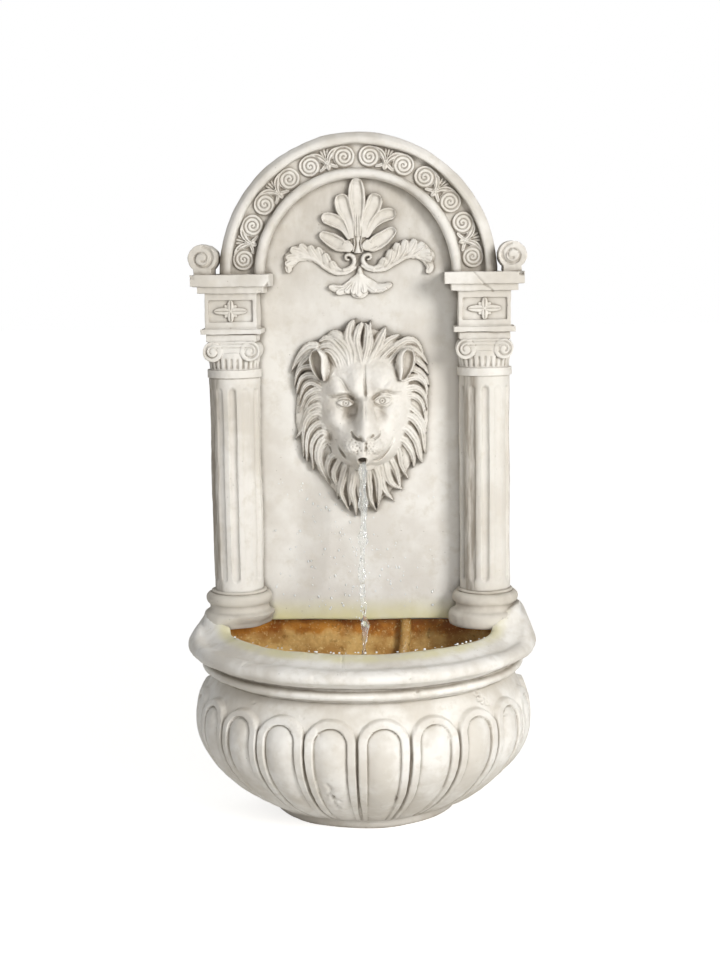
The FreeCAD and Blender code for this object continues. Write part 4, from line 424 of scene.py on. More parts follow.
def make_rim():
    """The rim, raised to the seats of the columns, its ends swept up to their bases."""
    section = [(NECK_RADIUS - 11, NECK_HEIGHT), (NECK_RADIUS, NECK_HEIGHT), (171.8, 172.5), (173.6, 174.4),
               (175.8, 175.6), (177.2, 175.9)]
    for angle in range(-78, 80, 13):
        turn = math.radians(angle)
        section.append((179.0 + 6.0 * math.cos(turn), 181.6 + 5.4 * math.sin(turn)))
    section += [(180.2, 187.4), (180.4, 188.4), (181.8, 189.3), (184.4, 190.8), (187.6, 192.9),
                (190.8, 195.0), (194.0, 197.0), (196.8, 199.2)]
    for angle in range(-36, 80, 12):
        turn = math.radians(angle)
        section.append((190.2 + 9.6 * math.cos(turn), 204.6 + 9.0 * math.sin(turn)))
    section += [(190.2, 213.4), (188.2, 212.9), (186.0, 212.6), (183.6, 213.0), (181.0, 214.2),
                (178.4, 215.8), (175.6, 217.3), (172.5, 218.8), (169.6, 220.1), (167, 221.1), (164.8, 221.5),
                (162.6, 221.2), (160.9, 220.0), (160.2, 218.2), (160, 210), (160.4, 196), (160, 180)]
    rows = []
    for first, second in zip(section, section[1:] + section[:1]):
        pieces = max(1, int(math.dist(first, second) / 2.2))
        for step in range(pieces):
            part = step / pieces
            radius = first[0] + (second[0] - first[0]) * part
            rows.append((radius, first[1] + (second[1] - first[1]) * part, 0))
    rim = sweep_bowl("basin_rim", rows, list(np.linspace(0, 1, 401)))
    points = points_of(rim)
    for side in (-1, 1):
        away = np.hypot(points[:, 0] - side * COLUMN_X, points[:, 1] - (WALL - COLUMN_DEPTH))
        seat = 1 - smooth(SEAT_RADIUS - 1, SEAT_RADIUS + 5, away)
        top = (points[:, 2] > 213) & (np.abs(points[:, 0]) > 100)
        points[:, 2] += np.where(top, seat * (BASIN_TOP - points[:, 2]), 0)
    out, depth = np.abs(points[:, 0]), WALL - points[:, 1]
    swept = np.where(points[:, 0] > 0, RIGHT_SWEEP, LEFT_SWEEP)
    swept = swept * smooth(RIM_RADIUS + 1, 183, out) * smooth(137, 160, out)
    points[:, 2] += swept * smooth(120, 62, depth) * smooth(204, 213, points[:, 2])
    points[:, 1] = np.minimum(points[:, 1], WALL - RIM_END)
    set_points(rim, points)
    weather(rim, (1.3, 55, 0), (0.5, 11, 0),
            where=lambda p: (p[:, 1] < WALL - 2) * (p[:, 2] < BASIN_TOP - 0.5))
    cracks(rim, lambda normals: smooth(0.1, -0.4, normals[:, 1]) + smooth(0.5, 0.8, normals[:, 2]),
           ([(-15.5, 221), (-15.0, 214)], 1.3, 0.8), ([(66, 207), (58, 206), (57, 203)], 1.8, 1.6),
           ([(64, 186), (66, 178)], 1.8, 1.6), ([(-118, 196), (-112, 190)], 1.6, 1.2))
    scars(rim, (57.6, 240.5, 206.2, 4, 1.6), (63.6, 220.3, 180.5, 5, 2.0), (-119.5, 204.3, 213.9, 6, 1.2),
          (-59.9, 221.4, 219, 3.5, 1.2), (-100, 214, 213, 3, 1.0), (-86, 222, 205, 3, 1.2),
          (-44, 243, 207, 3, 1.2), (-14, 247, 205, 3, 1.0), (150, 168, 214, 4, 1.2),
          (-170, 130, 212, 5, 1.4), (-182, 110, 206, 4, 1.4))
    return rim


def wet_lip(tree, place):
    """The yellow-green bloom that the varnish leaves where the stone stays wet."""
    out = add(tree, "ShaderNodeVectorMath", {0: place, 1: (0, (WALL - RIM_CENTRE) * MM, 0)},
              operation="SUBTRACT").outputs[0]
    radius = add(tree, "ShaderNodeVectorMath", {0: stretched(tree, out, (1, 1, 0))},
                 operation="LENGTH").outputs["Value"]
    mask = combine(tree, "MULTIPLY", ramp(tree, radius, 0.174, 0.161),
                   ramp(tree, coordinate(tree, place, 2), 0.212, 0.219))
    mask = combine(tree, "MULTIPLY", mask, mottled(tree, place, 30, 0.3, 0.7, 0.3, 0.8, detail=3))
    return mask, linear("DAD4A8")


def pool_varnish(name):
    """Amber pool varnish on rough stone: glossy and wet, dark in its upper band, honey coloured lower
    down where lime has settled in spots."""
    material, tree, shader, place = blank(name, Roughness=0.32, IOR=1.5)
    blotch = mottled(tree, place, 30, 0.38, 0.62)
    colour = mixed(tree, blotch, linear("9A5B1F"), linear("CB8A38"))
    wander = mottled(tree, place, 22, 0.3, 0.7, -0.006, 0.006)
    height = combine(tree, "ADD", coordinate(tree, place, 2), wander)
    settled = mixed(tree, blotch, linear("B98B4E"), linear("E2BC78"))
    colour = mixed(tree, ramp(tree, height, 0.209, 0.196), colour, settled)
    colour = mixed(tree, mottled(tree, place, 9, 0.56, 0.70, 0.0, 0.55, 4, 0.65), colour, linear("7C5424"))
    colour = mixed(tree, mottled(tree, place, 3, 0.58, 0.68, 0.0, 0.8, 3, 0.7), colour, linear("E8CF94"))
    tree.links.new(colour, shader.inputs["Base Color"])
    roughen(tree, shader, patches(tree, place, 5), 0.5, 1.0)
    return material


def bowl_wall_outline(shrink):
    """Half width and height of the bowl's outline where it meets the wall."""
    outline = []
    for height, radius in [(0, 106), (11, 108)] + [(h, bowl_radius(h)) for h in range(18, 171, 8)] + [
            (178, 178), (184, 184), (196, 187), (205, 195), (213, 188), (219, 172)]:
        inset = radius - shrink
        outline.append((math.sqrt(inset ** 2 - bowl_centre(radius) ** 2), height))
    return outline


def plate(name, outline, front, back):
    """A flat plate with an outline of (x, z), from one depth to another."""
    bpy.ops.object.select_all(action="DESELECT")
    bpy.ops.mesh.primitive_circle_add(vertices=len(outline), radius=1, fill_type="NGON")
    piece = named(name)
    set_points(piece, [(x, WALL - front, z) for x, z in outline])
    edit(piece, everything=True)
    bpy.ops.mesh.extrude_region_move()
    done()
    points = points_of(piece)
    chosen = np.array([vertex.select for vertex in piece.data.vertices])
    points[chosen, 1] = WALL - back
    set_points(piece, points)
    close_up(piece)
    return piece


def make_lining():
    """The varnished inside, whose ends stop within the basin's back."""
    section = [(160.2, 219.0, 0), (159.6, 218.0, 0), (159.5, 194, 0), (167, 160, 0), (173.4, BELLY_HEIGHT, 0)]
    section += [(bowl_radius(height) - 12, height, 0) for height in (92, 70, 52, 38, 27, 20)]
    section += [(92, 15, 0), (94, 13, 0)]
    section += [(bowl_radius(height) - 10, height, 0) for height in (27, 52, 92)]
    section += [(175.4, BELLY_HEIGHT, 0), (169, 160, 0), (161.6, 194, 0), (161.4, 219.0, 0)]
    lining = sweep_bowl("basin_lining", section, list(np.linspace(0, 1, 161)))
    points = points_of(lining)
    points[:, 1] = np.minimum(points[:, 1], WALL - LINING_END)
    set_points(lining, points)
    return lining


rim = make_rim()
dress(rim, cast_stone("limewashed_rim_with_wet_lip", tint=wet_lip), sharp=60)
stand_in(rim, "cast_stone", "basin_bowl")

amber = pool_varnish("amber_pool_varnish")
lining = make_lining()
dress(lining, amber)
stand_in(lining, "cast_stone", "basin_bowl")


def varnish_inside(piece, inside):
    """Gives a piece stone, and varnish on the faces whose normals inside(normal) picks."""
    piece.data.materials.append(stone)
    piece.data.materials.append(amber)
    for face in piece.data.polygons:
        face.material_index = int(inside(face.normal))


right_side = bowl_wall_outline(2)
back_wall = plate("basin_back", right_side + [(-x, z) for x, z in reversed(right_side)], 9.9, 0.6)
varnish_inside(back_wall, lambda normal: normal.y < -0.5)
stand_in(back_wall, "cast_stone", "basin_bowl")

# The basin's floor: part of the casting, flat inside and out, with the hole that the rubber plug closes.
PLUG_X = (end_of("drain_plug", 0, 0) + end_of("drain_plug", 1, 0)) / 2
PLUG_Y = (end_of("drain_plug", 0, 1) + end_of("drain_plug", 1, 1)) / 2
DRAIN_BORE = 8
FLOOR_RADIUS, FLOOR_THICK, FLOOR_BACK = 100, 16, 9


def cut_back(piece, depth):
    """Cuts a piece off behind a depth and closes the cut."""
    edit(piece, everything=True)
    bpy.ops.mesh.bisect(plane_co=(0, (WALL - depth) * MM, 0), plane_no=(0, 1, 0), use_fill=True,
                        clear_outer=True)
    done()


def make_floor():
    """A disc that the back wall cuts off, with the drain bored through it."""
    bpy.ops.object.select_all(action="DESELECT")
    bpy.ops.mesh.primitive_cylinder_add(vertices=96, radius=FLOOR_RADIUS * MM, depth=FLOOR_THICK * MM,
                                        location=(0, (WALL - FOOT_CENTRE) * MM, FLOOR_THICK / 2 * MM))
    floor = named("basin_floor")
    bpy.ops.object.transform_apply(location=True)
    cut_back(floor, FLOOR_BACK)
    bpy.ops.mesh.primitive_cylinder_add(vertices=40, radius=DRAIN_BORE * MM, depth=4 * FLOOR_THICK * MM,
                                        location=(PLUG_X * MM, PLUG_Y * MM, FLOOR_THICK / 2 * MM))
    drill = bpy.context.object
    modify(floor, "BOOLEAN", object=drill, operation="DIFFERENCE")
    bpy.data.objects.remove(drill)
    close_up(floor)
    return floor


floor_slab = make_floor()
varnish_inside(floor_slab, lambda normal: normal.z > 0.5)
stand_in(floor_slab, "cast_stone", "basin_bowl")


# The niche panel: a hollow casting with a round head that carries the arch, the columns and the mask. Its
# face was floated by hand, so it is a little uneven, and spray keeps its lower edge damp.
PANEL_FACE = WALL - end_of("niche_panel", 0, 1)


def cast_from(node, voxel):
    """A CAD node's mesh as a cast piece: remeshed in voxels of that many mm and relaxed, so that its edges
    are soft."""
    piece = bpy.data.objects.new(node + "_cast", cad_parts[node].data.copy())
    bpy.context.scene.collection.objects.link(piece)
    piece.data.name = node + "_cast"
    piece.data.materials.clear()
    edit(piece, everything=True)
    bpy.ops.mesh.remove_doubles(threshold=0.00002)
    done()
    piece.data.remesh_voxel_size = voxel * MM
    bpy.ops.object.voxel_remesh()
    modify(piece, "SMOOTH", factor=0.5, iterations=2)
    return piece


def damp_foot_and_painted_top_shade(tree, place):
    """Yellow-green bloom that fades up from the water over the panel's lowest 30 mm, and over the upper part
    under the arch a brushed grey that is painted shade with some wash in it."""
    height = coordinate(tree, place, 2)
    bloom = combine(tree, "MULTIPLY", ramp(tree, height, 0.256, 0.222),
                    mottled(tree, place, 40, 0.25, 0.75, 0.55, 1.0, detail=3))
    brushed = mottled(tree, stretched(tree, place, (1, 1, 0.35)), 26, 0.3, 0.7, 0.45, 1.0, 4, 0.65)
    top_wash_and_shade = combine(tree, "MULTIPLY", ramp(tree, height, 0.50, 0.72, 0.0, 0.62), brushed)
    mask = combine(tree, "MAXIMUM", bloom, top_wash_and_shade)
    # Grey A9A194 over the upper part is painted shade under the arch with some wash; the yellow-green below
    # is the damp bloom.
    return mask, mixed(tree, ramp(tree, height, 0.3, 0.31), linear("D9D39C"), linear("A9A194"))


panel = cast_from("niche_panel", 2.4)
weather(panel, (1.6, 90, 0), (0.5, 24, 3.1), where=lambda p: p[:, 1] < 112)
dress(panel, cast_stone("limewashed_panel_with_damp_foot_and_painted_shade", light="E8E6E1", mid="D9D5CE", reach=10, corner_shade_strength=0.15,
                        tint=damp_foot_and_painted_top_shade))
stand_in(panel, "cast_stone", "niche_panel")

# The arch moulding: run in one sweep round the niche's head, with a chamfered outer band, a sunk frieze and
# a round inner band. It is cast on to the panel.
SPRINGING = end_of("arch_moulding", 0, 2)


def spun(name, section, centre, sweep, steps, upright=False):
    """Spins a closed section of (radius, height) round a centre: about Y, or about Z if it is upright."""
    bpy.ops.object.select_all(action="DESELECT")
    bpy.ops.mesh.primitive_circle_add(vertices=len(section), radius=1, fill_type="NOTHING")
    piece = named(name)
    radius, height = np.array(section, float).T
    same = np.ones(len(section))
    if upright:
        points = np.column_stack([centre[0] + radius, centre[1] * same, height])
        axis = (0, 0, 1)
    else:
        points = np.column_stack([centre[0] + radius, WALL - height, centre[2] * same])
        axis = (0, 1, 0)
    set_points(piece, points)
    edit(piece, everything=True)
    bpy.ops.mesh.spin(steps=steps, angle=sweep, center=[value * MM for value in centre], axis=axis)
    done()
    close_up(piece)
    return piece


arch_section = [(105.4, 31), (105.4, 45), (105.6, 50), (106.4, 53), (108, 55.2), (110, 56), (112.4, 55.9),
                (114.4, 54.8), (115.8, 52.6), (116.4, 49.5), (116.8, 46), (117.4, 44), (118.6, 43.2),
                (121, 43), (125, 43), (130, 43), (135, 43), (139, 43), (141.2, 43.2), (142.4, 44),
                (142.9, 46), (143.1, 50), (143.4, 53.6), (144.2, 55.4), (145.8, 56), (148, 56),
                (149.8, 55.7), (151, 54.8), (153.5, 52.2), (155.4, 50.2), (156, 48.6), (156, 44), (156, 38),
                (156, 31)]
arch = spun("arch_moulding_cast", arch_section, (0, 0, SPRINGING), math.pi, 260)
weather(arch, (1.2, 45, 0), (0.5, 12, 5.0))
# The arch, capitals, frieze blocks and scrolls get a darker copy of the stone: painted shade over the upper
# castings.
upper_stone_painted_darker = cast_stone("limewashed_upper_castings_painted_darker", light="E3E0DA", mid="CCC7BE")
dress(arch, upper_stone_painted_darker, sharp=60)
stand_in(arch, "cast_stone", "arch_moulding")


# The column bases: turned mouldings cast with the columns and bedded on the rim, a round plinth, a hollow,
# a fat torus and a ring. A dowel in each keeps it in its place.
SHAFT_FOOT, NECKING = end_of("column_shaft_right", 0, 2), end_of("column_shaft_right", 1, 2)
SIDES = ((-1, "left"), (1, "right"))
LEFT_SHAVING = 0.3

# The bases are a darker, wet stone, and their long-reaching ambient occlusion adds painted shade in their
# hollows.
washed_and_shaded_stone = cast_stone("limewashed_bases_with_wash_and_painted_shade", light="D1CCC2", mid="B8B1A5", wash="655D51", reach=12)
base_section = [(0, BASIN_TOP), (38.4, BASIN_TOP), (40.2, 224.8), (41.2, 227.5), (41.5, 231.5), (41.1, 236),
                (39.9, 239.2), (37.8, 240.8), (35.6, 241.6), (34.0, 243.2), (33.3, 246), (33.6, 248.8),
                (34.9, 250.2), (36.4, 251.6), (37.3, 254.2), (37.5, 257), (36.9, 259.8), (35.2, 261.8),
                (32.8, 262.6), (30.8, 262.9), (31.3, 263.9), (31.2, 265.3), (30.4, SHAFT_FOOT),
                (0, SHAFT_FOOT)]
for side, word in SIDES:
    base = spun(f"column_base_{word}_cast", base_section, (side * COLUMN_X, WALL - COLUMN_DEPTH, 0),
                2 * math.pi, 120, upright=True)
    cut_back(base, PANEL_FACE)
    weather(base, (1.0, 30, side * 2.0), (0.4, 8, 0), where=lambda p: p[:, 2] > BASIN_TOP + 0.3)
    if side < 0:
        points = points_of(base)
        out = points[:, :2] - (side * COLUMN_X, WALL - COLUMN_DEPTH)
        inward = np.clip((out[:, 0] - out[:, 1]) / (np.linalg.norm(out, axis=1) * math.sqrt(2) + 1e-6), 0, 1)
        out *= (1 - LEFT_SHAVING * smooth(0.2, 0.9, inward) * smooth(240, 226, points[:, 2]))[:, None]
        points[:, :2] = out + (side * COLUMN_X, WALL - COLUMN_DEPTH)
        set_points(base, points)
    dress(base, washed_and_shaded_stone, sharp=60)
    stand_in(base, "cast_stone", f"column_base_{word}")

# The column shafts: cast with seven shallow flutes on the round front, each with rounded ends. They lean on
# the panel, and years of wash have softened their edges.
FLUTE_STEP, FLUTE_HALF, FLUTE_MARGIN = 31, 4.4, 11
FLUTE_CUTS = (3.9, 1.5, 3.0, 2.6)
LEFT_WEAR, RIGHT_WEAR = 0.9, 0.27


def left_side_painted_shade(side):
    """Painted shade down the left side of each shaft, in grey streaked along it."""
    def tint(tree, place):
        across = combine(tree, "SUBTRACT", coordinate(tree, place, 0), side * COLUMN_X * MM)
        if side < 0:
            mask = ramp(tree, across, -0.0125, -0.0195)
        else:
            mask = combine(tree, "MULTIPLY", ramp(tree, across, -0.005, -0.013),
                           ramp(tree, across, -0.0262, -0.0215))
        streaked = mottled(tree, stretched(tree, place, (1, 1, 0.12)), 6, 0.35, 0.65, 0.25, 0.85)
        return combine(tree, "MULTIPLY", mask, streaked), linear("91887B")
    return tint


def make_shaft(side, word):
    """A round shaft with its flutes, a little worn down at its foot."""
    shaft_with_painted_shade, around, up = new_grid(f"column_shaft_{word}_cast", 216, 150)
    turn = (around - 0.5) * 2 * math.pi
    height = SHAFT_FOOT + (NECKING - SHAFT_FOOT) * up
    nearest = np.clip(np.rint(np.degrees(turn) / FLUTE_STEP), -3, 3) * FLUTE_STEP
    across = np.radians(np.degrees(turn) - nearest) * SHAFT_RADIUS
    low = SHAFT_FOOT + FLUTE_MARGIN + FLUTE_HALF - height
    high = height - (NECKING - FLUTE_MARGIN - FLUTE_HALF)
    reach = np.hypot(across, np.maximum(0, np.maximum(low, high))) / FLUTE_HALF
    cut = np.array(FLUTE_CUTS)[np.rint(np.abs(nearest) / FLUTE_STEP).astype(int)]
    radius = SHAFT_RADIUS - cut * np.sqrt(np.clip(1 - reach ** 2, 0, None))
    radius -= (LEFT_WEAR if side < 0 else RIGHT_WEAR) * smooth(0.25, 0, up)
    set_points(shaft_with_painted_shade, np.column_stack([side * COLUMN_X + radius * np.sin(turn),
                                       WALL - COLUMN_DEPTH - radius * np.cos(turn), height]))
    close_up(shaft_with_painted_shade)
    cut_back(shaft_with_painted_shade, PANEL_FACE)
    weather(shaft_with_painted_shade, (1.1, 60, side * 4.0), (0.35, 10, side * 1.0),
            where=lambda p: (p[:, 2] > SHAFT_FOOT + 0.5) & (p[:, 2] < NECKING - 0.5))
    return shaft_with_painted_shade


for side, word in SIDES:
    shaft_with_painted_shade = make_shaft(side, word)
    # The right shaft gets a darker ground than the left one: painted shade.
    light = "E4E1DB" if side < 0 else "DAD7D0"
    dress(shaft_with_painted_shade, cast_stone(f"limewashed_{word}_shaft", light=light, mid="CFCAC1", reach=9,
                            tint=left_side_painted_shade(side)), sharp=60)
    stand_in(shaft_with_painted_shade, "cast_stone", f"column_shaft_{word}")

# The capitals: a necking ring, a short fluted echinus, and over it a bolster whose ends roll into volutes.
# They are pressed in the same mould as the shafts, so their spirals are soft.
VOLUTE_X, VOLUTE_Z, VOLUTE_RADIUS = 21, 539, 11
CAPITAL_FRONT = 82
CAPITAL_TOP = end_of("capital_right", 1, 2)
ECHINUS_FLUTES, ECHINUS_RADIUS = 26, 33


def spiral_groove(across, up, start, end, turns, width, begin=90):
    """Depth share of a groove that winds in from radius start to end, clockwise from an angle."""
    radius = np.hypot(across, up)
    angle = (math.radians(begin) - np.arctan2(up, across)) % (2 * math.pi) / (2 * math.pi)
    cut = np.zeros_like(radius)
    for lap in range(int(math.ceil(turns))):
        along = (angle + lap) / turns
        line = start + (end - start) * along
        share = np.clip(1 - np.abs(radius - line) / width, 0, 1) * smooth(1.02, 0.96, along)
        cut = np.maximum(cut, share)
    return cut


def line_groove(value, line, width):
    """Depth share of a straight groove at a line."""
    return np.clip(1 - np.abs(value - line) / width, 0, 1)


def carve_capital(piece, middle):
    """Cuts the volutes' spirals, the bolster's two lines and the echinus's flutes."""
    points = points_of(piece)
    facing = smooth(-0.35, -0.8, normals_of(piece)[:, 1]) * (points[:, 1] < WALL - CAPITAL_FRONT + 4)
    across, height = points[:, 0] - middle, points[:, 2]
    cut = np.zeros(len(points))
    for hand in (-1, 1):
        u, w = (across - hand * VOLUTE_X) * hand, height - VOLUTE_Z
        near = np.hypot(u, w) < VOLUTE_RADIUS
        cut = np.maximum(cut, 2.0 * near * spiral_groove(u, w, 8.4, 2.6, 1.45, 1.5, 95))
    between = np.abs(across) < VOLUTE_X + 1
    for line in (547.2, 543.2):
        cut = np.maximum(cut, 1.5 * between * line_groove(height, line, 1.3))
    points[:, 1] += cut * facing
    turn = np.arctan2(across, -(points[:, 1] - (WALL - COLUMN_DEPTH)))
    reach = np.hypot(across, points[:, 1] - (WALL - COLUMN_DEPTH))
    beaded = smooth(518.5, 520.5, height) * smooth(532, 529.5, height) * (reach < ECHINUS_RADIUS)
    flute = np.clip(np.cos(turn * ECHINUS_FLUTES), 0, 1) ** 0.8 * beaded * 2.2
    points[:, 0] -= np.sin(turn) * flute
    points[:, 1] += np.cos(turn) * flute
    set_points(piece, points)


for side, word in SIDES:
    capital = cast_from(f"capital_{word}", 0.85)
    carve_capital(capital, side * COLUMN_X)
    weather(capital, (0.9, 16, side * 6.0), (0.3, 5, 0),
            where=lambda p: (p[:, 2] > NECKING + 0.5) & (p[:, 2] < CAPITAL_TOP - 0.5))
    dress(capital, upper_stone_painted_darker)
    stand_in(capital, "cast_stone", f"capital_{word}")

# The frieze blocks: square castings over the capitals, each with a sunk field on its face, a fillet under it
# and a stepped cornice over it. The right one has a hairline crack through its cornice.
CORNICE_CRACK = [(129, 624), (133, 619), (140, 611), (146, 607), (150, 603)]
BLOCK_CHIPS = {"left": (((-98, 38, 612), 5, 2.0), ((-107, 41, 604), 4, 1.5), ((-183, 37, 622), 4, 1.5)),
               "right": (((151, 37, 603), 3.5, 2.0), ((182, 37, 623), 5, 2.5))}

for side, word in SIDES:
    block = cast_from(f"entablature_{word}", 0.95)
    weather(block, (1.0, 26, side * 8.0), (0.4, 7, 0), where=lambda p: p[:, 1] < WALL - PANEL_FACE - 1)
    points, normals = points_of(block), normals_of(block)
    if side > 0:
        points[:, 1] += crack(points, smooth(-0.2, -0.7, normals[:, 1]), CORNICE_CRACK, 1.1, 1.8)
    for place, radius, depth in BLOCK_CHIPS[word]:
        points -= normals * chip(points, place, radius, depth)[:, None]
    set_points(block, points)
    dress(block, upper_stone_painted_darker)
    stand_in(block, "cast_stone", f"entablature_{word}")


# The stars in the sunk fields: four pointed leaves with a vein each and four small ones between them, round
# a button. They are pressed on while the blocks are green.
STAR_DEPTH, STAR_Z = 77, 583.75
NOTHING = -5.0
CARVING_BACK = 2.0
# Painted shade: the carvings' hollows and corners are darkened strongly by ambient occlusion.
carved_stone = cast_stone("limewashed_carving_with_painted_shade", light="E6E3DD", wash="6F675B", reach=6, corner_shade_strength=0.75,
                          catch=0.97)


def outside_of(height, floor):
    """Which grid points lie under a height and reach the grid's edge without crossing the carving."""
    low = height < floor
    out = np.zeros_like(low)
    out[0, :], out[-1, :], out[:, 0], out[:, -1] = low[0, :], low[-1, :], low[:, 0], low[:, -1]
    while True:
        spread = out.copy()
        spread[1:, :] |= out[:-1, :]
        spread[:-1, :] |= out[1:, :]
        spread[:, 1:] |= out[:, :-1]
        spread[:, :-1] |= out[:, 1:]
        spread &= low
        if (spread == out).all():
            return out
        out = spread


def carving(name, left, right, low, high, pitch, ground, height_of, place=None):
    """A carving in relief: a fine grid pushed out by height_of(x, z), in mm over a ground at some depth.
    What stays under the ground is cut off, and the rest is closed behind it."""
    columns, rows = int((right - left) / pitch), int((high - low) / pitch)
    piece, across, up = new_grid(name, columns, rows)
    x, z = left + across * (right - left), low + up * (high - low)
    height = height_of(x, z)
    column, row = np.rint(across * columns).astype(int), np.rint(up * rows).astype(int)
    table = np.empty((rows + 1, columns + 1))
    table[row, column] = height
    set_points(piece, np.column_stack([x, WALL - ground - np.maximum(height, -CARVING_BACK), z]))
    edit(piece)
    done()
    piece.data.vertices.foreach_set("select", outside_of(table, -0.8 * CARVING_BACK)[row, column])
    bpy.ops.object.mode_set(mode="EDIT")
    bpy.ops.mesh.delete(type="VERT")
    bpy.ops.mesh.select_mode(type="EDGE")
    bpy.ops.mesh.select_all(action="DESELECT")
    bpy.ops.mesh.select_non_manifold()
    bpy.ops.mesh.extrude_edges_move()
    bpy.ops.mesh.select_mode(type="VERT")
    done()
    points = points_of(piece)
    points[[vertex.select for vertex in piece.data.vertices], 1] = WALL - ground + CARVING_BACK + 0.5
    if place is not None:
        points = place(points)
    set_points(piece, points)
    close_up(piece)
    return piece


def union(first, second, blend=0.4):
    """The higher of two heights, softly joined."""
    return 0.5 * (first + second + np.sqrt((first - second) ** 2 + blend ** 2))


def near_path(x, z, path, samples=20):
    """Share along a smooth path and the signed distance across it, at each x and z."""
    knots = np.array([path[0]] + list(path) + [path[-1]], float)
    line = []
    spans = len(path) - 1
    for index in range(samples + 1):
        place = index / samples * spans
        span = min(int(place), spans - 1)
        t = place - span
        a, b, c, d = knots[span:span + 4]
        line.append(0.5 * (2 * b + (c - a) * t + (2 * a - 5 * b + 4 * c - d) * t ** 2
                           + (3 * b - a - 3 * c + d) * t ** 3))
    best = np.full(x.shape, 1e9)
    share = np.zeros(x.shape)
    across = np.full(x.shape, 1e9)
    for index in range(samples):
        (x0, z0), (x1, z1) = line[index], line[index + 1]
        run_x, run_z = x1 - x0, z1 - z0
        length = math.hypot(run_x, run_z) + 1e-9
        along = np.clip(((x - x0) * run_x + (z - z0) * run_z) / length ** 2, 0, 1)
        away_x, away_z = x - x0 - along * run_x, z - z0 - along * run_z
        away = np.hypot(away_x, away_z)
        closer = away < best
        best = np.where(closer, away, best)
        share = np.where(closer, (index + along) / samples, share)
        side = np.sign(run_x * away_z - run_z * away_x)
        across = np.where(closer, side * away, across)
    return share, across


def leaf(x, z, path, width, height, tip=0.15, root=0.5, fat=0.62, vein=0.0):
    """A leaf along a path: its width swells from the root to the fat part and closes at the tip. vein cuts
    a groove along it."""
    share, across = near_path(x, z, path)
    swell_in = root + (1 - root) * smooth(0, fat, share)
    close = np.sqrt(np.clip(1 - np.clip((share - fat) / (1 - fat), 0, 1) ** 2, 0, 1))
    half = width / 2 * swell_in * (tip + (1 - tip) * close)
    place = np.abs(across) / np.maximum(half, 0.05)
    form = height * (0.45 + 0.55 * np.sqrt(np.clip(1 - place ** 2, 0, 1)))
    if vein:
        form = form - vein * np.clip(1 - np.abs(across) / 0.8, 0, 1) * smooth(1, 0.85, share)
    return np.where(place < 1, form, NOTHING)


def dome(x, z, middle_x, middle_z, radius_x, radius_z, height, power=0.5):
    """A smooth knob with an elliptic foot."""
    u, w = (x - middle_x) / radius_x, (z - middle_z) / radius_z
    return np.where(u * u + w * w < 1, height * np.clip(1 - u * u - w * w, 0, 1) ** power, NOTHING)


SMALL_LEAF = {"width": 5, "height": 1.7, "tip": 0.1, "root": 0.5, "fat": 0.45}
TALL_LEAF = {"width": 7.8, "height": 3.4, "tip": 0.02, "root": 0.4, "fat": 0.3, "vein": 1.4}
WIDE_LEAF = {**TALL_LEAF, "width": 8.2}


def star_height(x, z):
    """One star: long leaves to the sides, shorter ones up and down, and four small ones between them."""
    form = dome(x, z, 0, 0, 2.6, 2.6, 3.2)
    for quarter in (0, 90, 180, 270):
        long_leaf = (18.5, WIDE_LEAF) if quarter % 180 == 0 else (12.4, TALL_LEAF)
        for turn, (length, kind) in ((quarter, long_leaf), (quarter + 45, (9.5, SMALL_LEAF))):
            out_x, out_z = math.cos(math.radians(turn)), math.sin(math.radians(turn))
            path = [(out_x, out_z), (out_x * length, out_z * length)]
            form = np.maximum(form, leaf(x, z, path, **kind))
    return form


for side, word in SIDES:
    star = carving(f"frieze_star_{word}_pressed", -20, 20, -13, 13, 0.4, STAR_DEPTH, star_height,
                   place=lambda p: p + np.array([side * COLUMN_X, 0, STAR_Z]))
    weather(star, (0.4, 4, side * 3.0))
    dress(star, carved_stone)
    stand_in(star, "carved_relief", f"frieze_star_{word}")

# The scrolls on the cornices: round rolls that stop the arch, with a spiral on the face.
SCROLL_X, SCROLL_Z, SCROLL_FRONT = 172, 642, 76

for side, word in SIDES:
    scroll = cast_from(f"corner_scroll_{word}", 0.8)
    points = points_of(scroll)
    facing = smooth(-0.35, -0.8, normals_of(scroll)[:, 1]) * (points[:, 1] < WALL - SCROLL_FRONT + 4)
    u, w = (points[:, 0] - side * SCROLL_X) * side, points[:, 2] - SCROLL_Z
    points[:, 1] += 2.2 * facing * spiral_groove(-u, w, 12.6, 3.0, 1.6, 1.7)
    set_points(scroll, points)
    weather(scroll, (1.0, 14, side * 5.0), (0.6, 5, 0),
            where=lambda p: (p[:, 2] > SPRINGING + 0.5) * (p[:, 1] < WALL - PANEL_FACE - 1))
    dress(scroll, upper_stone_painted_darker)
    stand_in(scroll, "carved_relief", f"corner_scroll_{word}")

# The frieze ornaments: six pairs of spirals, each rolled up from a ribbed band that springs from the foot of
# a fan of five thin leaves. One was modelled, and six pressings of it were bent round the arch.
FRIEZE_GROUND = 43
ORNAMENT_RADIUS = 130
ORNAMENT_TURNS = (164, 134.5, 105, 75, 45.5, 16)
SPIRAL_OUT, SPIRAL_RADIUS, SPIRAL_PITCH = 19.7, 12.4, 4.4
BAND_HALF = 4.3


def rib(turns):
    """The height of a ribbed band with a round rib at each whole turn and a sharp groove between two."""
    return 1.6 + 2.3 * np.sqrt(np.abs(np.cos(math.pi * turns)))


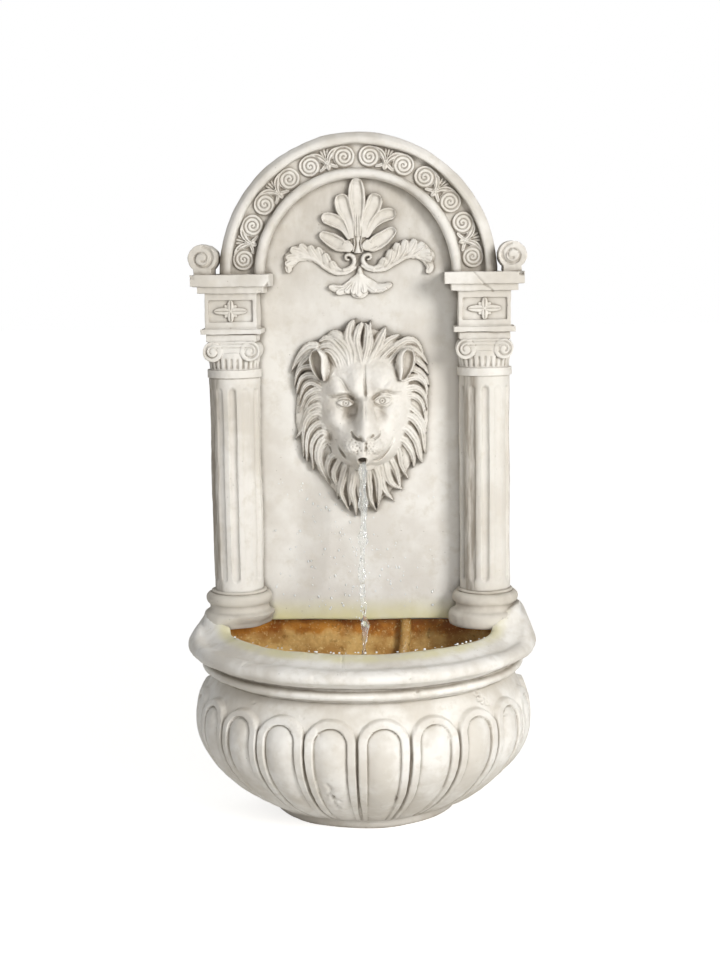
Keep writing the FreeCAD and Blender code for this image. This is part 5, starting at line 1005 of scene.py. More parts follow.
def ornament_height(x, z):
    """One ornament: the fan, the leaf that hangs under it, and the two spirals with their bands."""
    form = np.full(x.shape, NOTHING)
    for turn in (-36, -18, 0, 18, 36):
        lean = math.radians(turn)
        tip = (13 * math.sin(lean), -1 + 13.6 * math.cos(lean))
        form = np.maximum(form, leaf(x, z, [(4.5 * math.sin(lean), 0.5), tip], 3.2, 2.6, tip=0.35, root=0.35,
                                     fat=0.8))
    drop = [(0, 1.5), (0, -12.4)]
    form = np.maximum(form, leaf(x, z, drop, 7.4, 3.8, tip=0.05, root=0.35, fat=0.45, vein=0.9))
    stems = [[(hand * 0.6, -3.5), (hand * 5.0, -7.5), (hand * 11.5, -10.6)] for hand in (-1, 1)]
    for stem in stems:
        form = np.maximum(form, leaf(x, z, stem, 5.2, 3.0, tip=0.2, root=0.6, fat=0.45, vein=0.9))
    for hand in (-1, 1):
        u, w = (x - hand * SPIRAL_OUT) * hand, z + 0.3
        radius = np.hypot(u, w)
        turns = radius / SPIRAL_PITCH + np.arctan2(w, -u) / (2 * math.pi)
        disc = np.where(radius < SPIRAL_RADIUS, rib(turns) - 0.05 * radius, NOTHING)
        band_path = [(hand * 1.4, -4.2), (hand * 4.2, 1.4), (hand * 10.4, 6.6), (hand * SPIRAL_OUT, 7.8)]
        share, across = near_path(x, z, band_path)
        half = BAND_HALF * (0.5 + 0.5 * smooth(0, 0.7, share))
        turns = (SPIRAL_RADIUS - BAND_HALF + hand * across * BAND_HALF / half) / SPIRAL_PITCH + 0.25
        band = np.where((np.abs(across) < half) & (share < 0.99), rib(turns) + 0.5, NOTHING)
        form = np.maximum(form, np.where(radius < SPIRAL_RADIUS, disc, band))
    return form


for number, middle in enumerate(ORNAMENT_TURNS, start=1):
    def bent(p, middle=middle):
        """Bends a pressing round the arch at its middle's angle."""
        turn = math.radians(middle) - p[:, 0] / ORNAMENT_RADIUS
        radius = ORNAMENT_RADIUS + p[:, 2]
        return np.column_stack([radius * np.cos(turn), p[:, 1], SPRINGING + radius * np.sin(turn)])

    pressing = carving(f"arch_ornament_{number}_pressed", -33, 33, -13.6, 13.2, 0.42, FRIEZE_GROUND,
                       ornament_height, place=bent)
    weather(pressing, (0.45, 5, number * 2.5))
    dress(pressing, carved_stone)
    stand_in(pressing, "carved_relief", f"arch_ornament_{number}")


# The crest over the mask, cast with the panel: a palmette of seven hollow leaves on a small calyx, two
# acanthus leaves that spring from spirals, and a leaf that hangs under them.
def spoon(x, z, path, width, rise, dip, root=0.42, fat=0.72):
    """A hollow leaf with a rounded rim, which narrows to its root and closes in a round tip."""
    share, across = near_path(x, z, path)
    half = width / 2 * (root + (1 - root) * smooth(0, fat, share))
    half = half * np.sqrt(np.clip(1.002 - np.clip((share - fat) / (1 - fat), 0, 1) ** 2, 0, 1))
    place = np.abs(across) / np.maximum(half, 0.05)
    body = 3.0 + (rise - 3.0) * np.sqrt(np.clip(1 - place ** 3.5, 0, 1))
    depth = dip * (0.25 + 0.75 * smooth(0.05, 0.6, share)) * smooth(0.99, 0.88, share)
    body = body - depth * smooth(0.86, 0.45, place)
    return np.where(place < 1, body, NOTHING)


def roll(x, z, path, width, rise, thin=0.6):
    """A round roll along a path, thinner at its start."""
    share, across = near_path(x, z, path, 30)
    half = width / 2 * (thin + (1 - thin) * smooth(0, 0.5, share))
    place = np.abs(across) / half
    return np.where(place < 1, 2.0 + (rise - 2.0) * np.sqrt(np.clip(1 - place ** 2, 0, 1)), NOTHING)


def palmette_height(x, z):
    """Seven hollow leaves, the calyx's curls and stems under them, and the ribbed stem in the middle."""
    forms = [
        spoon(x, z, [(-10.3, 664.5), (-16.2, 675), (-25.3, 682.5), (-40.8, 687.5)], 16, 9.0, 4.6),
        spoon(x, z, [(10.6, 665.6), (18.6, 678.5), (28.6, 687.6), (43.6, 690)], 16, 9.0, 4.6),
        spoon(x, z, [(-6.9, 666.5), (-10, 683), (-16, 698), (-18.4, 712.6)], 19.5, 10, 5.4),
        spoon(x, z, [(6.4, 667), (10, 683), (17.6, 698), (21.2, 712.6)], 19.5, 10, 5.4),
        spoon(x, z, [(-0.2, 668), (0, 690), (-0.7, 708), (-0.8, 730.6)], 21, 10.8, 5.8, fat=0.66),
        spoon(x, z, [(-11, 653), (-19, 655.5), (-30, 661.5), (-43, 668.6)], 18, 9.4, 5.2, root=0.7, fat=0.45),
        spoon(x, z, [(10.5, 654.5), (18, 656), (30, 663.5), (42.6, 673.4)], 18.5, 9.4, 5.2, root=0.7,
              fat=0.45),
    ]
    for path in ([(-16.5, 656.5), (-13.5, 660), (-9.3, 658.5), (-8.6, 652.6), (-13, 648.8), (-22, 650.5)],
                 [(15.5, 657.5), (12.5, 660.5), (8.8, 659), (8.2, 653.5), (12.5, 650), (21, 652)]):
        forms.append(roll(x, z, path, 3.6, 8))
    for path in ([(-4.6, 666), (-3.8, 657), (-5.6, 648)], [(4.6, 666), (3.4, 657), (5.4, 648)]):
        forms.append(roll(x, z, path, 2.2, 7.2, thin=1))
    waist = np.abs(x) / (1.9 + 0.032 * (z - 656.6) ** 2)
    forms.append(np.where((waist < 1) & (z > 646) & (z < 667), 6.6 - 1.6 * waist ** 2, NOTHING))
    forms.append(np.where((np.abs(x) < 8.5) & (z > 648) & (z < 669), 3.8, NOTHING))
    form = np.maximum.reduce(forms)
    stem = (np.abs(x + 0.1) < 4.3) & (z > 664) & (z < 692)
    ridges = 0.75 * np.cos(2 * math.pi * (x + 0.1) / 2.7) * smooth(692, 684, z)
    return np.where(stem & (form > 0), form + ridges, form)


def acanthus(x, z, blade, width, stem, curl, lobes):
    """A leaf in profile: lobes fan out over its blade from a stem that ends in a spiral."""
    form = roll(x, z, blade, width, 5.6, thin=0.3)
    for number, (path, wide) in enumerate(lobes):
        share, across = near_path(x, z, path)
        half = (wide + 2.5) / 2 * (0.55 + 0.45 * smooth(0, 0.45, share))
        half = half * np.sqrt(np.clip(1.01 - share ** 6, 0, 1))
        place = across / np.maximum(half, 0.05)
        body = 3.6 + 4.6 * smooth(0.1, 1, share) + 2.2 * (0.5 - np.abs(place + 0.3)) + 0.6 * (number % 2)
        vein = np.exp(-((place + 0.3) / 0.14) ** 2)
        body = body - 1.5 * vein * smooth(0, 0.3, share) * smooth(1, 0.8, share)
        body = body - 2.6 * smooth(0.66, 1.0, np.abs(place))
        form = union(form, np.where(np.abs(place) < 1, body, NOTHING), 0.5)
    form = union(form, roll(x, z, stem, 5.2, 5.8, thin=1), 0.8)
    return np.maximum(form, roll(x, z, curl, 6.0, 7.8, thin=0.62))


def acanthus_left_height(x, z):
    """The leaf on the left of the calyx, a little lower than the right one."""
    stem = [(-4, 630.5), (-12, 625), (-25, 624.2), (-36, 629.6), (-46, 637.4), (-55, 641.5), (-64, 642.4)]
    curl = [(-11, 639), (-13.6, 640.2), (-13.2, 643.6), (-9.4, 644.4), (-5.2, 641.6), (-4.8, 635.6),
            (-9, 630), (-16, 627.2)]
    lobes = [
        ([(-22, 625), (-27, 630), (-31, 637.5)], 8), ([(-28, 626), (-34, 636), (-38, 646.5)], 9),
        ([(-35, 630), (-41, 641), (-46, 653.5)], 9), ([(-42, 635), (-49, 644), (-55, 655.5)], 9),
        ([(-48, 638), (-57, 647), (-66, 656.6)], 10), ([(-54, 640), (-65, 647), (-76.6, 651.5)], 10),
        ([(-60, 640.5), (-71, 642.5), (-81.5, 641.5)], 9), ([(-66, 640.5), (-75, 637.5), (-82, 633.5)], 8),
        ([(-68, 640), (-75, 636), (-79, 631), (-77.8, 625)], 7.5),
    ]
    blade = [(-18, 627), (-30, 633.5), (-42, 644), (-56, 648.5), (-68, 648), (-77, 641)]
    return acanthus(x, z, blade, 15, stem, curl, lobes)


def acanthus_right_height(x, z):
    """The leaf on the right of the calyx."""
    stem = [(5, 632), (13, 628), (23, 626.6), (33, 629), (44, 635.6), (54, 641), (65, 643)]
    curl = [(11.4, 639.2), (14, 640.6), (13.6, 644), (9.8, 644.6), (6, 641.8), (6, 636.4), (10.4, 631.4),
            (17, 629)]
    lobes = [
        ([(20, 627.5), (26, 632.5), (30, 641)], 8), ([(27, 628), (34, 638), (37.5, 650)], 9),
        ([(34, 631), (41, 644), (45, 657.5)], 9), ([(42, 636), (50, 648), (54, 660.8)], 9),
        ([(49, 639.5), (58, 650), (65, 660.8)], 9.5), ([(56, 641.5), (67, 650), (75, 656.5)], 10),
        ([(62, 642), (73, 646), (82, 646.5)], 10), ([(67, 641.5), (76, 641), (83.6, 637)], 9),
        ([(68, 641), (76, 638), (81.6, 630), (77.5, 622.6)], 8.5),
    ]
    blade = [(17, 629.5), (30, 634.5), (42, 646.5), (56, 651.5), (70, 650.5), (79, 641.5)]
    return acanthus(x, z, blade, 16, stem, curl, lobes)


def pendant_height(x, z):
    """The leaf that hangs under the calyx, with four lobes to each side and one down its middle."""
    lobes = [
        ([(0, 623), (-8, 612.5), (-19, 606), (-34, 609)], 8.5), ([(-6, 613), (-13, 606), (-25, 601.6)], 8),
        ([(-2, 620), (-7, 609), (-15, 602.4)], 8), ([(0, 620), (-4, 609), (-6, 600.6)], 7.5),
        ([(3, 623), (12, 613.5), (23, 607), (38.4, 611)], 8.5), ([(8, 614), (17, 606.5), (31.6, 606.4)], 8),
        ([(5, 620), (11, 610), (20.2, 602.8)], 8), ([(3, 620), (6, 609), (7.4, 601.6)], 7.5),
        ([(2.2, 629.2), (1.2, 613), (0.4, 597.4)], 11),
    ]
    blade, stem, curl = [(2.2, 624), (1, 607)], [(2.2, 628), (1.6, 618)], [(2.2, 629.2), (1.9, 625)]
    return acanthus(x, z, blade, 24, stem, curl, lobes) - 0.3


CREST = (("palmette_crest", -46, 48, 644, 734, palmette_height),
         ("acanthus_scroll_left", -86, 0, 617, 662, acanthus_left_height),
         ("acanthus_scroll_right", 0, 88, 617, 666, acanthus_right_height),
         ("pendant_leaf", -38, 43, 594, 632, pendant_height))

for word, left, right, low, high, height_of in CREST:
    piece = carving(word + "_cast", left, right, low, high, 0.5, PANEL_FACE, height_of)
    weather(piece, (0.5, 5, 0))
    dress(piece, carved_stone)
    stand_in(piece, "carved_relief", word)


# The lion mask: modelled in clay and cast with the panel, with a brow drawn down over the eyes, a broad nose,
# soft lips round the spout and a mane of separate locks. Its hollows are painted darker than the rest of the
# stone: painted shade with a little wash.
LIPS_X, LIPS_Z = 0.3, 422.0
STEP_X, STEP_Z = 1.137, 1.15
LOCK_ROUNDING = 7.0


def lock(x, z, path, width, high, low):
    """A lock of hair that falls from a height at its root to one at its pointed tip, combed in strands.
    Its path is given on the modeller's grid, which starts between the lips."""
    (u0, w0), (u1, w1) = path[0], path[1]
    step = math.hypot(u1 - u0, w1 - w0)
    path = [(u0 - 4 * (u1 - u0) / step, w0 - 4 * (w1 - w0) / step)] + path
    places = [(LIPS_X + STEP_X * u, LIPS_Z + STEP_Z * w) for u, w in path]
    form = np.full(x.shape, NOTHING)
    near = ((x > min(p[0] for p in places) - width) & (x < max(p[0] for p in places) + width)
            & (z > min(p[1] for p in places) - width) & (z < max(p[1] for p in places) + width))
    share, across = near_path(x[near], z[near], places, 16)
    key = math.sin(7.1 * path[1][0] + 3.3 * path[-1][1])
    across = across + 1.7 * np.sin(share * 7.5 + 4 * key) * smooth(0, 0.3, share)
    taper = 7 if path[-1][1] > path[0][1] + 12 else 3.4
    half = width / 2 * STEP_X * (0.7 + 0.3 * smooth(0, 0.35, share)) * np.clip(1.005 - share ** taper, 0, 1)
    place = across / np.maximum(half, 0.2)
    body = np.sqrt(np.clip(1 - place ** 2, 0, 1))
    level = high + (low - high) * share ** 0.9 - 9 * smooth(0.3, 0, share)
    wander = 0.14 * np.sin(share * 6 + 9 * key) + 0.16 * key
    strands = sum(np.exp(-((place - middle - wander) / 0.15) ** 2) for middle in (-0.4, 0.35))
    level = level - LOCK_ROUNDING * (1 - body) + 3.2 * place * key - 1.6 * strands * smooth(0.1, 0.4, share)
    form[near] = np.where(np.abs(place) < 1, level, NOTHING)
    return form


# Each lock: the places that it passes on the modeller's grid, its width, and its height at root and tip.
LOCKS = [
    ([(-1, 84), (-3, 98), (-10, 112), (-8, 122), (-3, 130)], 13, 41, 14),
    ([(2, 86), (0, 100), (-1, 112), (1, 124), (1, 128)], 9, 42, 15),
    ([(5, 86), (6, 100), (6, 112), (8, 122), (7, 128)], 8, 42, 14),
    ([(7, 88), (10, 104), (9, 118), (13, 129)], 7, 41, 14),
    ([(9, 88), (16, 102), (20, 113), (27, 123)], 12, 41, 14),
    ([(13, 86), (22, 100), (30, 111), (41, 115)], 10, 39, 13),
    ([(16, 83), (26, 98), (36, 107), (49, 108)], 9, 38, 14),
    ([(20, 80), (30, 92), (40, 100), (53, 99)], 9, 37, 16),
    ([(-5, 83), (-9, 98), (-17, 110), (-25, 117), (-34, 114)], 12, 41, 13),
    ([(-9, 80), (-13, 95), (-22, 107), (-31, 111), (-40, 107)], 11, 40, 14),
    ([(-13, 78), (-18, 92), (-27, 103), (-38, 105), (-50, 97)], 11, 38, 14),
    ([(-17, 75), (-23, 88), (-31, 97), (-38, 97)], 9, 36, 20),
    ([(-42, 102), (-52, 103), (-61, 94), (-68, 78)], 12, 24, 9),
    ([(-41, 92), (-50, 93), (-60, 86), (-66, 71)], 11, 25, 10),
    ([(-37, 82), (-48, 84), (-59, 79), (-66, 64)], 9, 26, 10),
    ([(-36, 75), (-47, 76), (-57, 71), (-64, 56)], 10, 27, 10),
    ([(-35, 66), (-46, 69), (-56, 63), (-63, 47)], 9, 28, 10),
    ([(-34, 58), (-44, 61), (-55, 56), (-62, 38)], 10, 29, 10),
    ([(-33, 50), (-43, 53), (-53, 48), (-60, 29)], 9, 30, 10),
    ([(-33, 42), (-43, 46), (-53, 40), (-59, 21), (-64, 12)], 10, 31, 9),
    ([(-32, 33), (-42, 38), (-51, 30), (-56, 10), (-59, -8)], 11, 32, 9),
    ([(-30, 25), (-40, 29), (-49, 19), (-52, 0), (-55, -12)], 10, 33, 9),
    ([(-28, 17), (-38, 19), (-45, 8), (-47, -8), (-50, -20)], 11, 34, 9),
    ([(-25, 10), (-35, 11), (-40, -4), (-38, -20), (-33, -34)], 13, 36, 9),
    ([(-21, 2), (-30, -4), (-32, -18), (-27, -34)], 10, 36, 10),
    ([(-19, -6), (-25, -20), (-21, -34), (-25, -49)], 11, 37, 9),
    ([(-14, -12), (-16, -28), (-19, -43), (-13, -62)], 11, 39, 9),
    ([(-9, -15), (-11, -32), (-9, -46), (-12, -56)], 9, 40, 11),
    ([(-5, -17), (-8, -36), (-5, -50), (-6, -66)], 10, 42, 9),
    ([(0, -18), (1, -38), (3, -52), (1, -66)], 10, 43, 9),
    ([(6, -18), (9, -36), (9, -50), (14, -62)], 10, 42, 9),
    ([(12, -15), (17, -32), (19, -45), (16, -58)], 10, 41, 10),
    ([(17, -10), (22, -26), (24, -40), (32, -52)], 11, 39, 9),
    ([(22, -4), (27, -20), (33, -32), (42, -40)], 11, 38, 10),
    ([(27, 2), (31, -12), (36, -26), (41, -40)], 10, 38, 9),
    ([(30, 9), (38, -2), (41, -16), (47, -30)], 11, 37, 9),
    ([(31, 15), (44, 13), (51, -2), (52, -18)], 12, 36, 9),
    ([(33, 24), (47, 25), (56, 11), (58, -6), (62, -14)], 11, 34, 9),
    ([(35, 33), (49, 35), (59, 22), (63, 4), (66, -2)], 10, 33, 9),
    ([(36, 43), (50, 45), (60, 34), (65, 17)], 10, 32, 9),
    ([(37, 52), (51, 55), (61, 46), (66, 28)], 9, 31, 10),
    ([(38, 62), (53, 64), (62, 56), (67, 40)], 10, 30, 10),
    ([(40, 71), (54, 73), (64, 66), (68, 52)], 9, 29, 10),
    ([(43, 80), (55, 82), (65, 76), (69, 63)], 9, 28, 10),
    ([(45, 89), (56, 91), (65, 85), (69, 74)], 9, 27, 10),
    ([(44, 99), (54, 101), (62, 96), (68, 84)], 10, 26, 10),
    ([(36, 105), (47, 109), (57, 105), (65, 93)], 10, 26, 10),
]


EAR_LEAN, EAR_HALF, EAR_LENGTH = 0.26, 12.5, 18.5
EYE_HALF, UPPER_LID, LOWER_LID = 9.6, 3.9, 3.7


def ear(x, z, hand, middle_x, middle_z, deep):
    """A rounded ear: an outer rim, a hollow that deepens inwards, and a lobe towards the crown."""
    u, w = (x - middle_x) * hand, z - middle_z
    across = u * math.cos(EAR_LEAN) + w * math.sin(EAR_LEAN)
    along = (w * math.cos(EAR_LEAN) - u * math.sin(EAR_LEAN)) / EAR_LENGTH
    half = EAR_HALF * np.sqrt(np.clip(1 - np.abs(along) ** 1.9, 0, 1)) * (0.87 + 0.13 * np.clip(along, -1, 1))
    place = across / np.maximum(half, 0.5)
    fold = 0.12 + 0.22 * np.sin(2.2 * along)
    rim = 33 - 5 * smooth(-0.86, -1.0, place)
    lobe = 38 - 11 * np.clip((place - fold - 0.25) / 0.65, 0, 1) ** 2
    lobe = lobe - 16 * smooth(fold + 0.14, fold - 0.1, place)
    hollow = rim - deep * smooth(-0.86, -0.5, place) * smooth(1.0, 0.7, np.abs(along))
    form = np.maximum(hollow, lobe)
    return np.where((np.abs(place) < 1) & (np.abs(along) < 0.985), form, NOTHING)


def swell(x, z, middle_x, middle_z, radius_x, radius_z, height, turn=0.0):
    """A soft swelling, or with a negative height a hollow, pressed into the clay."""
    cos, sin = math.cos(math.radians(turn)), math.sin(math.radians(turn))
    u = ((x - middle_x) * cos + (z - middle_z) * sin) / radius_x
    w = ((z - middle_z) * cos - (x - middle_x) * sin) / radius_z
    return height * np.exp(-(u * u + w * w))


def scored(form, x, z, path, width, depth, deepest):
    """Scores a line into the clay, which runs out at both ends from where it is deepest."""
    share, across = near_path(x, z, path, 14)
    ends = np.where(share < deepest, share / deepest, (1 - share) / (1 - deepest + 1e-6))
    return form - depth * np.sqrt(np.clip(ends, 0, 1)) * np.exp(-(across / width) ** 2)


def eye(form, x, z, middle_x, middle_z, slant, hand):
    """An almond eye: a ball between a heavy upper lid and a thin lower one, with a ringed, drilled iris."""
    cos, sin = math.cos(math.radians(slant)), math.sin(math.radians(slant))
    u = (x - middle_x) * cos + (z - middle_z) * sin
    w = (z - middle_z) * cos - (x - middle_x) * sin
    share = np.clip(1 - (u / EYE_HALF) ** 2, 0, 1)
    upper, lower = UPPER_LID * share ** 0.8, -LOWER_LID * share ** 0.8
    ball = 36.0 + 3.2 * np.sqrt(np.clip(1 - (u / 11) ** 2 - (w / 8) ** 2, 0, 1))
    open_eye = smooth(-0.6, 0.6, upper - w) * smooth(-0.6, 0.6, w - lower) * (np.abs(u) < EYE_HALF)
    form = form + (ball - form) * open_eye
    fade = smooth(12.5, 8, np.abs(u))
    form = form + 2.4 * fade * np.exp(-((w - upper - 1.3) / 1.3) ** 2)
    form = form + 1.8 * fade * np.exp(-((w - lower + 1.2) / 1.2) ** 2)
    form = form - 1.1 * fade * np.exp(-((w - upper - 3.9) / 0.9) ** 2)
    form = form - 0.8 * fade * np.exp(-((w - lower + 3.5) / 1.1) ** 2)
    away = np.hypot(u - 0.5 * hand, w - 0.4)
    ring = 2.2 * np.exp(-((away - 3.1) / 0.8) ** 2) + 2.6 * np.exp(-(away / 1.2) ** 2)
    return form - ring * open_eye


# Swellings of the forehead and the cheeks, and hollows beside the bridge, round the eyes and next to the
# muzzle: middle, radii and height in mm.
SWELLS = ((29, 503, 19, 17, 12), (-3, 500, 10, 17, 10), (-27, 500, 12, 14, 10), (6, 518, 26, 12, 3),
          (-29, 462, 13, 17, 12), (39, 465, 15, 18, 13), (-8, 467, 7, 15, -16), (23, 468, 7, 12, -5),
          (-17, 480, 13, 7, -5), (28, 482, 13, 7, -5), (-34, 431, 9, 14, -17), (44, 430, 7, 11, -5))
# Scored lines: path, width and depth in mm, and where along it the line is deepest. First the frown and
# the lids' creases, then the furrow over the nose and the folds beside it, then the nostrils, the lip's
# parting and the mouth.
BROW_LINES = (([(6.9, 526), (7.0, 512), (7.4, 496), (7.8, 483)], 1.5, 3.7, 0.8),
              ([(-29, 512), (-19, 504), (-12, 493), (-5, 484)], 3.0, 5.5, 0.75),
              ([(39, 510), (29, 499), (20, 489)], 2.4, 2.0, 0.5),
              ([(-36, 486.5), (-26, 486.5), (-15, 489), (-7, 484), (1, 481.5)], 1.7, 4.8, 0.5),
              ([(12, 481), (19, 488), (29, 492.5), (40, 490), (49, 490)], 1.7, 4.8, 0.5))
NOSE_LINES = (([(7.6, 484), (7.9, 472), (8.2, 460)], 1.1, 1.9, 0.5),
              ([(-9, 447), (-18, 444), (-27, 435), (-27, 424)], 3.5, 3, 0.5),
              ([(26, 449), (34, 443), (41, 433)], 3.5, 2.5, 0.5))
MOUTH_LINES = (([(-8.5, 449), (-5, 443.8), (0, 440.8), (5, 441)], 1.5, 6.5, 0.5),
               ([(0, 444.5), (3, 442.2), (6.2, 439)], 1.8, 5.5, 0.5),
               ([(17.5, 445.5), (14, 443), (10.2, 440)], 2.0, 8.0, 0.5),
               ([(22.5, 450.5), (23.6, 446), (20, 441.8), (13.5, 440.2)], 1.3, 3.5, 0.5),
               ([(7.8, 440), (8.4, 431), (8, 421)], 1.5, 3.2, 0.5),
               ([(-27, 438), (-22, 429), (-15, 419), (-8, 413)], 2.1, 9, 0.5),
               ([(9, 419), (17, 415.5), (25, 419), (34, 430), (39, 441)], 1.7, 6.5, 0.5))


def face_height(x, z):
    """The lion's face without its hair, in mm over the panel."""
    form = 34 * np.clip(1 - np.abs((x - 5) / 54) ** 2.2 - np.abs((z - 476) / 72) ** 2.4, 0, 1) ** 0.62
    inside = form > 0.5
    for mark in SWELLS:
        form = form + swell(x, z, *mark)
    # The bridge widens down to the nose, which ends over the lip in a broad V.
    share, across = near_path(x, z, [(7.0, 496), (7.2, 480), (7.9, 463), (7.9, 436)], 24)
    half = 5.6 + 4.4 * smooth(0.35, 1, share)
    top = 42 + 23.5 * smooth(0, 0.95, share)
    ledge = 438.5 + 0.40 * np.abs(x - 7.8)
    bridge = top * np.clip(1 - np.abs(across / half / 1.6) ** 2.0, 0, 1) ** 0.42
    bridge = bridge - 6 * smooth(ledge + 1.2, ledge - 1.4, z)
    form = union(form, np.where(share > 0, bridge, 0) * smooth(0, 0.3, share), 12)
    # The muzzle: two pads under the nose, the chin, and the nose's two wings.
    muzzle = 58 * np.clip(1 - np.abs((x - 5) / 45) ** 2.0 - np.abs((z - 436) / 36) ** 2.1, 0, 1) ** 0.75
    form = union(form, muzzle, 14)
    for middle, reach, height in ((-7.8, 16, 64), (18.2, 14, 63)):
        pad = dome(x, z, middle, 432.0, reach, 12.0, height, power=0.36)
        form = union(form, pad * smooth(ledge + 2, ledge - 2.5, z), 5)
    form = union(form, dome(x, z, 5.0, 402, 19, 21, 52, power=0.9), 8)
    for middle in (0.2, 16.0):
        form = union(form, dome(x, z, middle, 447.0, 6.0, 5.8, 62.5, power=0.3), 4)
    for line in BROW_LINES:
        form = scored(form, x, z, *line)
    form = form + swell(x, z, -21, 492, 13, 4.5, 4, -4) + swell(x, z, 33, 497, 14, 5, 4, 6)
    for line in NOSE_LINES:
        form = scored(form, x, z, *line)
    form = eye(form, x, z, -15.2, 479.0, -7, 1)
    form = eye(form, x, z, 27, 481.5, 8, -1)
    for line in MOUTH_LINES:
        form = scored(form, x, z, *line)
    # The lips close round the spout's tip and stand open over its bore.
    form = form + swell(x, z, 4.5, 418, 19, 11, 11)
    form = union(form, dome(x, z, 4.5, 418.0, 13, 10, 67, power=0.22), 5)
    gape = np.clip(1 - ((x - 4.6) / 5.4) ** 2 - ((z - 417.7) / 3.3) ** 2, 0, 1)
    form = form + (48 - form) * smooth(0.0, 0.4, gape) * (form > 48)
    # The pads are stippled with whisker pits, set in rings.
    for middle, spread in ((-8.5, -1), (18.5, 1)):
        for index in range(26):
            turn, away = index * 2.4, 1.9 * math.sqrt(index + 0.5)
            pit_x, pit_z = middle + spread * away * 1.25 * math.cos(turn), 431.5 + away * math.sin(turn)
            form = form - 1.7 * np.exp(-(np.hypot(x - pit_x, z - pit_z) / 0.95) ** 2)
    return np.where(inside & (form > 1), form, NOTHING)


def mask_height(x, z):
    """The whole mask: a low shield, the face, the hair over it and the ears in the hair."""
    curve = np.where(z < 458, 1.45, 2.0)
    reach = (np.abs((x - 2) / 77) ** curve + np.abs((z - 458) / 106) ** curve) ** (1 / curve)
    form = np.where(reach < 0.985, 29 * np.clip(1 - reach, 0, 1) ** 0.7 + 2.5, NOTHING)
    form = np.maximum(form, face_height(x, z))
    hair = np.full(x.shape, NOTHING)
    for path, width, high, tip in LOCKS:
        hair = np.maximum(hair, lock(x, z, path, width, high, tip))
    form = union(form, hair, 0.6)
    form = form - swell(x, z, -31, 437, 6.5, 12, 12) * (form > 20)
    for hand, middle_x, deep in ((1, -44, 11), (-1, 52, 7)):
        one = ear(x, z, hand, middle_x, 521.5, deep)
        form = np.where(one > 0, one, form)
    return form


mask = carving("lion_mask_cast", -90, 92, 338, 580, 0.64, PANEL_FACE, mask_height)
modify(mask, "SMOOTH", factor=0.4, iterations=1)
weather(mask, (0.4, 4, 0))
# Painted shade: close and broad ambient occlusion darken the mask's hollows strongly.
dress(mask, cast_stone("limewashed_lion_mask_with_painted_shade", light="E8E5DF", wash="6A6257", reach=4.5, corner_shade_strength=0.85,
                       catch=0.97))
stand_in(mask, "carved_relief", "lion_mask")


# The spout and its feed: a copper tube through the panel, furred with lime at the tip, held by a brass nut
# and fed by a nylon elbow and a PVC hose with two stainless clamps. The hose is coated where it stands wet.
def finish(node, *materials):
    """Puts better materials in a CAD node's slots."""
    for slot, material in zip(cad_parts[node].material_slots, materials):
        slot.material = material


def grained(name, first, second, size, bump=0.15, depth=0.2, **surface):
    """A material in two close colours that drift over size mm, with a fine grain."""
    material, tree, shader, place = blank(name, **surface)
    drift = mottled(tree, place, size, 0.35, 0.65)
    tree.links.new(mixed(tree, drift, linear(first), linear(second)), shader.inputs["Base Color"])
    roughen(tree, shader, patches(tree, place, size / 12, 3), bump, depth)
    return material


def furred_copper(name):
    """Copper tube: brown and dull along its length, with a pale lime crust over the wet end."""
    material, tree, shader, place = blank(name, Roughness=0.42)
    crust = ramp(tree, coordinate(tree, place, 1), 0.052, 0.040)
    uneven = mottled(tree, place, 3, 0.3, 0.55)
    bare = mixed(tree, uneven, linear("8A5738"), linear("6B4A38"))
    lime = mixed(tree, uneven, linear("C9C1B2"), linear("A79E8F"))
    tree.links.new(mixed(tree, crust, bare, lime), shader.inputs["Base Color"])
    tree.links.new(combine(tree, "SUBTRACT", 1.0, crust), shader.inputs["Metallic"])
    roughen(tree, shader, patches(tree, place, 1.2, 3, 0.7), 0.5, 0.4)
    return material


def coated_hose(name):
    """Clear PVC hose under the amber pool coating, specked with lime and dark grit."""
    material, tree, shader, place = blank(name, Roughness=0.36, IOR=1.52)
    colour = mixed(tree, mottled(tree, place, 12, 0.35, 0.65), linear("B98B48"), linear("C9A566"))
    lime = mottled(tree, place, 2.6, 0.56, 0.66, 0.0, 0.85, 3, 0.7)
    colour = mixed(tree, lime, colour, linear("E2D6AE"))
    grit = mottled(tree, place, 3.4, 0.40, 0.33, 0.0, 0.6, 2, 0.6)
    tree.links.new(mixed(tree, grit, colour, linear("7A5A26")), shader.inputs["Base Color"])
    roughen(tree, shader, patches(tree, place, 2.6, 3, 0.7), 0.5, 0.5)
    return material


finish("spout_tube", furred_copper("lime_furred_copper_tube"))
finish("spout_locknut", grained("tarnished_brass", "A98A4A", "8C6F3C", 5, Metallic=1.0, Roughness=0.38))
finish("spout_elbow", grained("moulded_black_nylon", "26272A", "2F3033", 6, Roughness=0.45))
finish("riser_hose", coated_hose("pool_coated_pvc_hose"))

# The small metal parts: stainless clamps, screws and dowels, turned or rolled, and two hanger plates of
# sheet steel that was galvanised in a bath, which leaves pale crystals on it.
stainless = grained("drawn_stainless_steel", "B4B6B8", "A4A6A9", 3, bump=0.1, Metallic=1.0, Roughness=0.28)
for node in ("hose_clamps", "cover_screws", "locating_dowel_left", "locating_dowel_right"):
    finish(node, stainless)


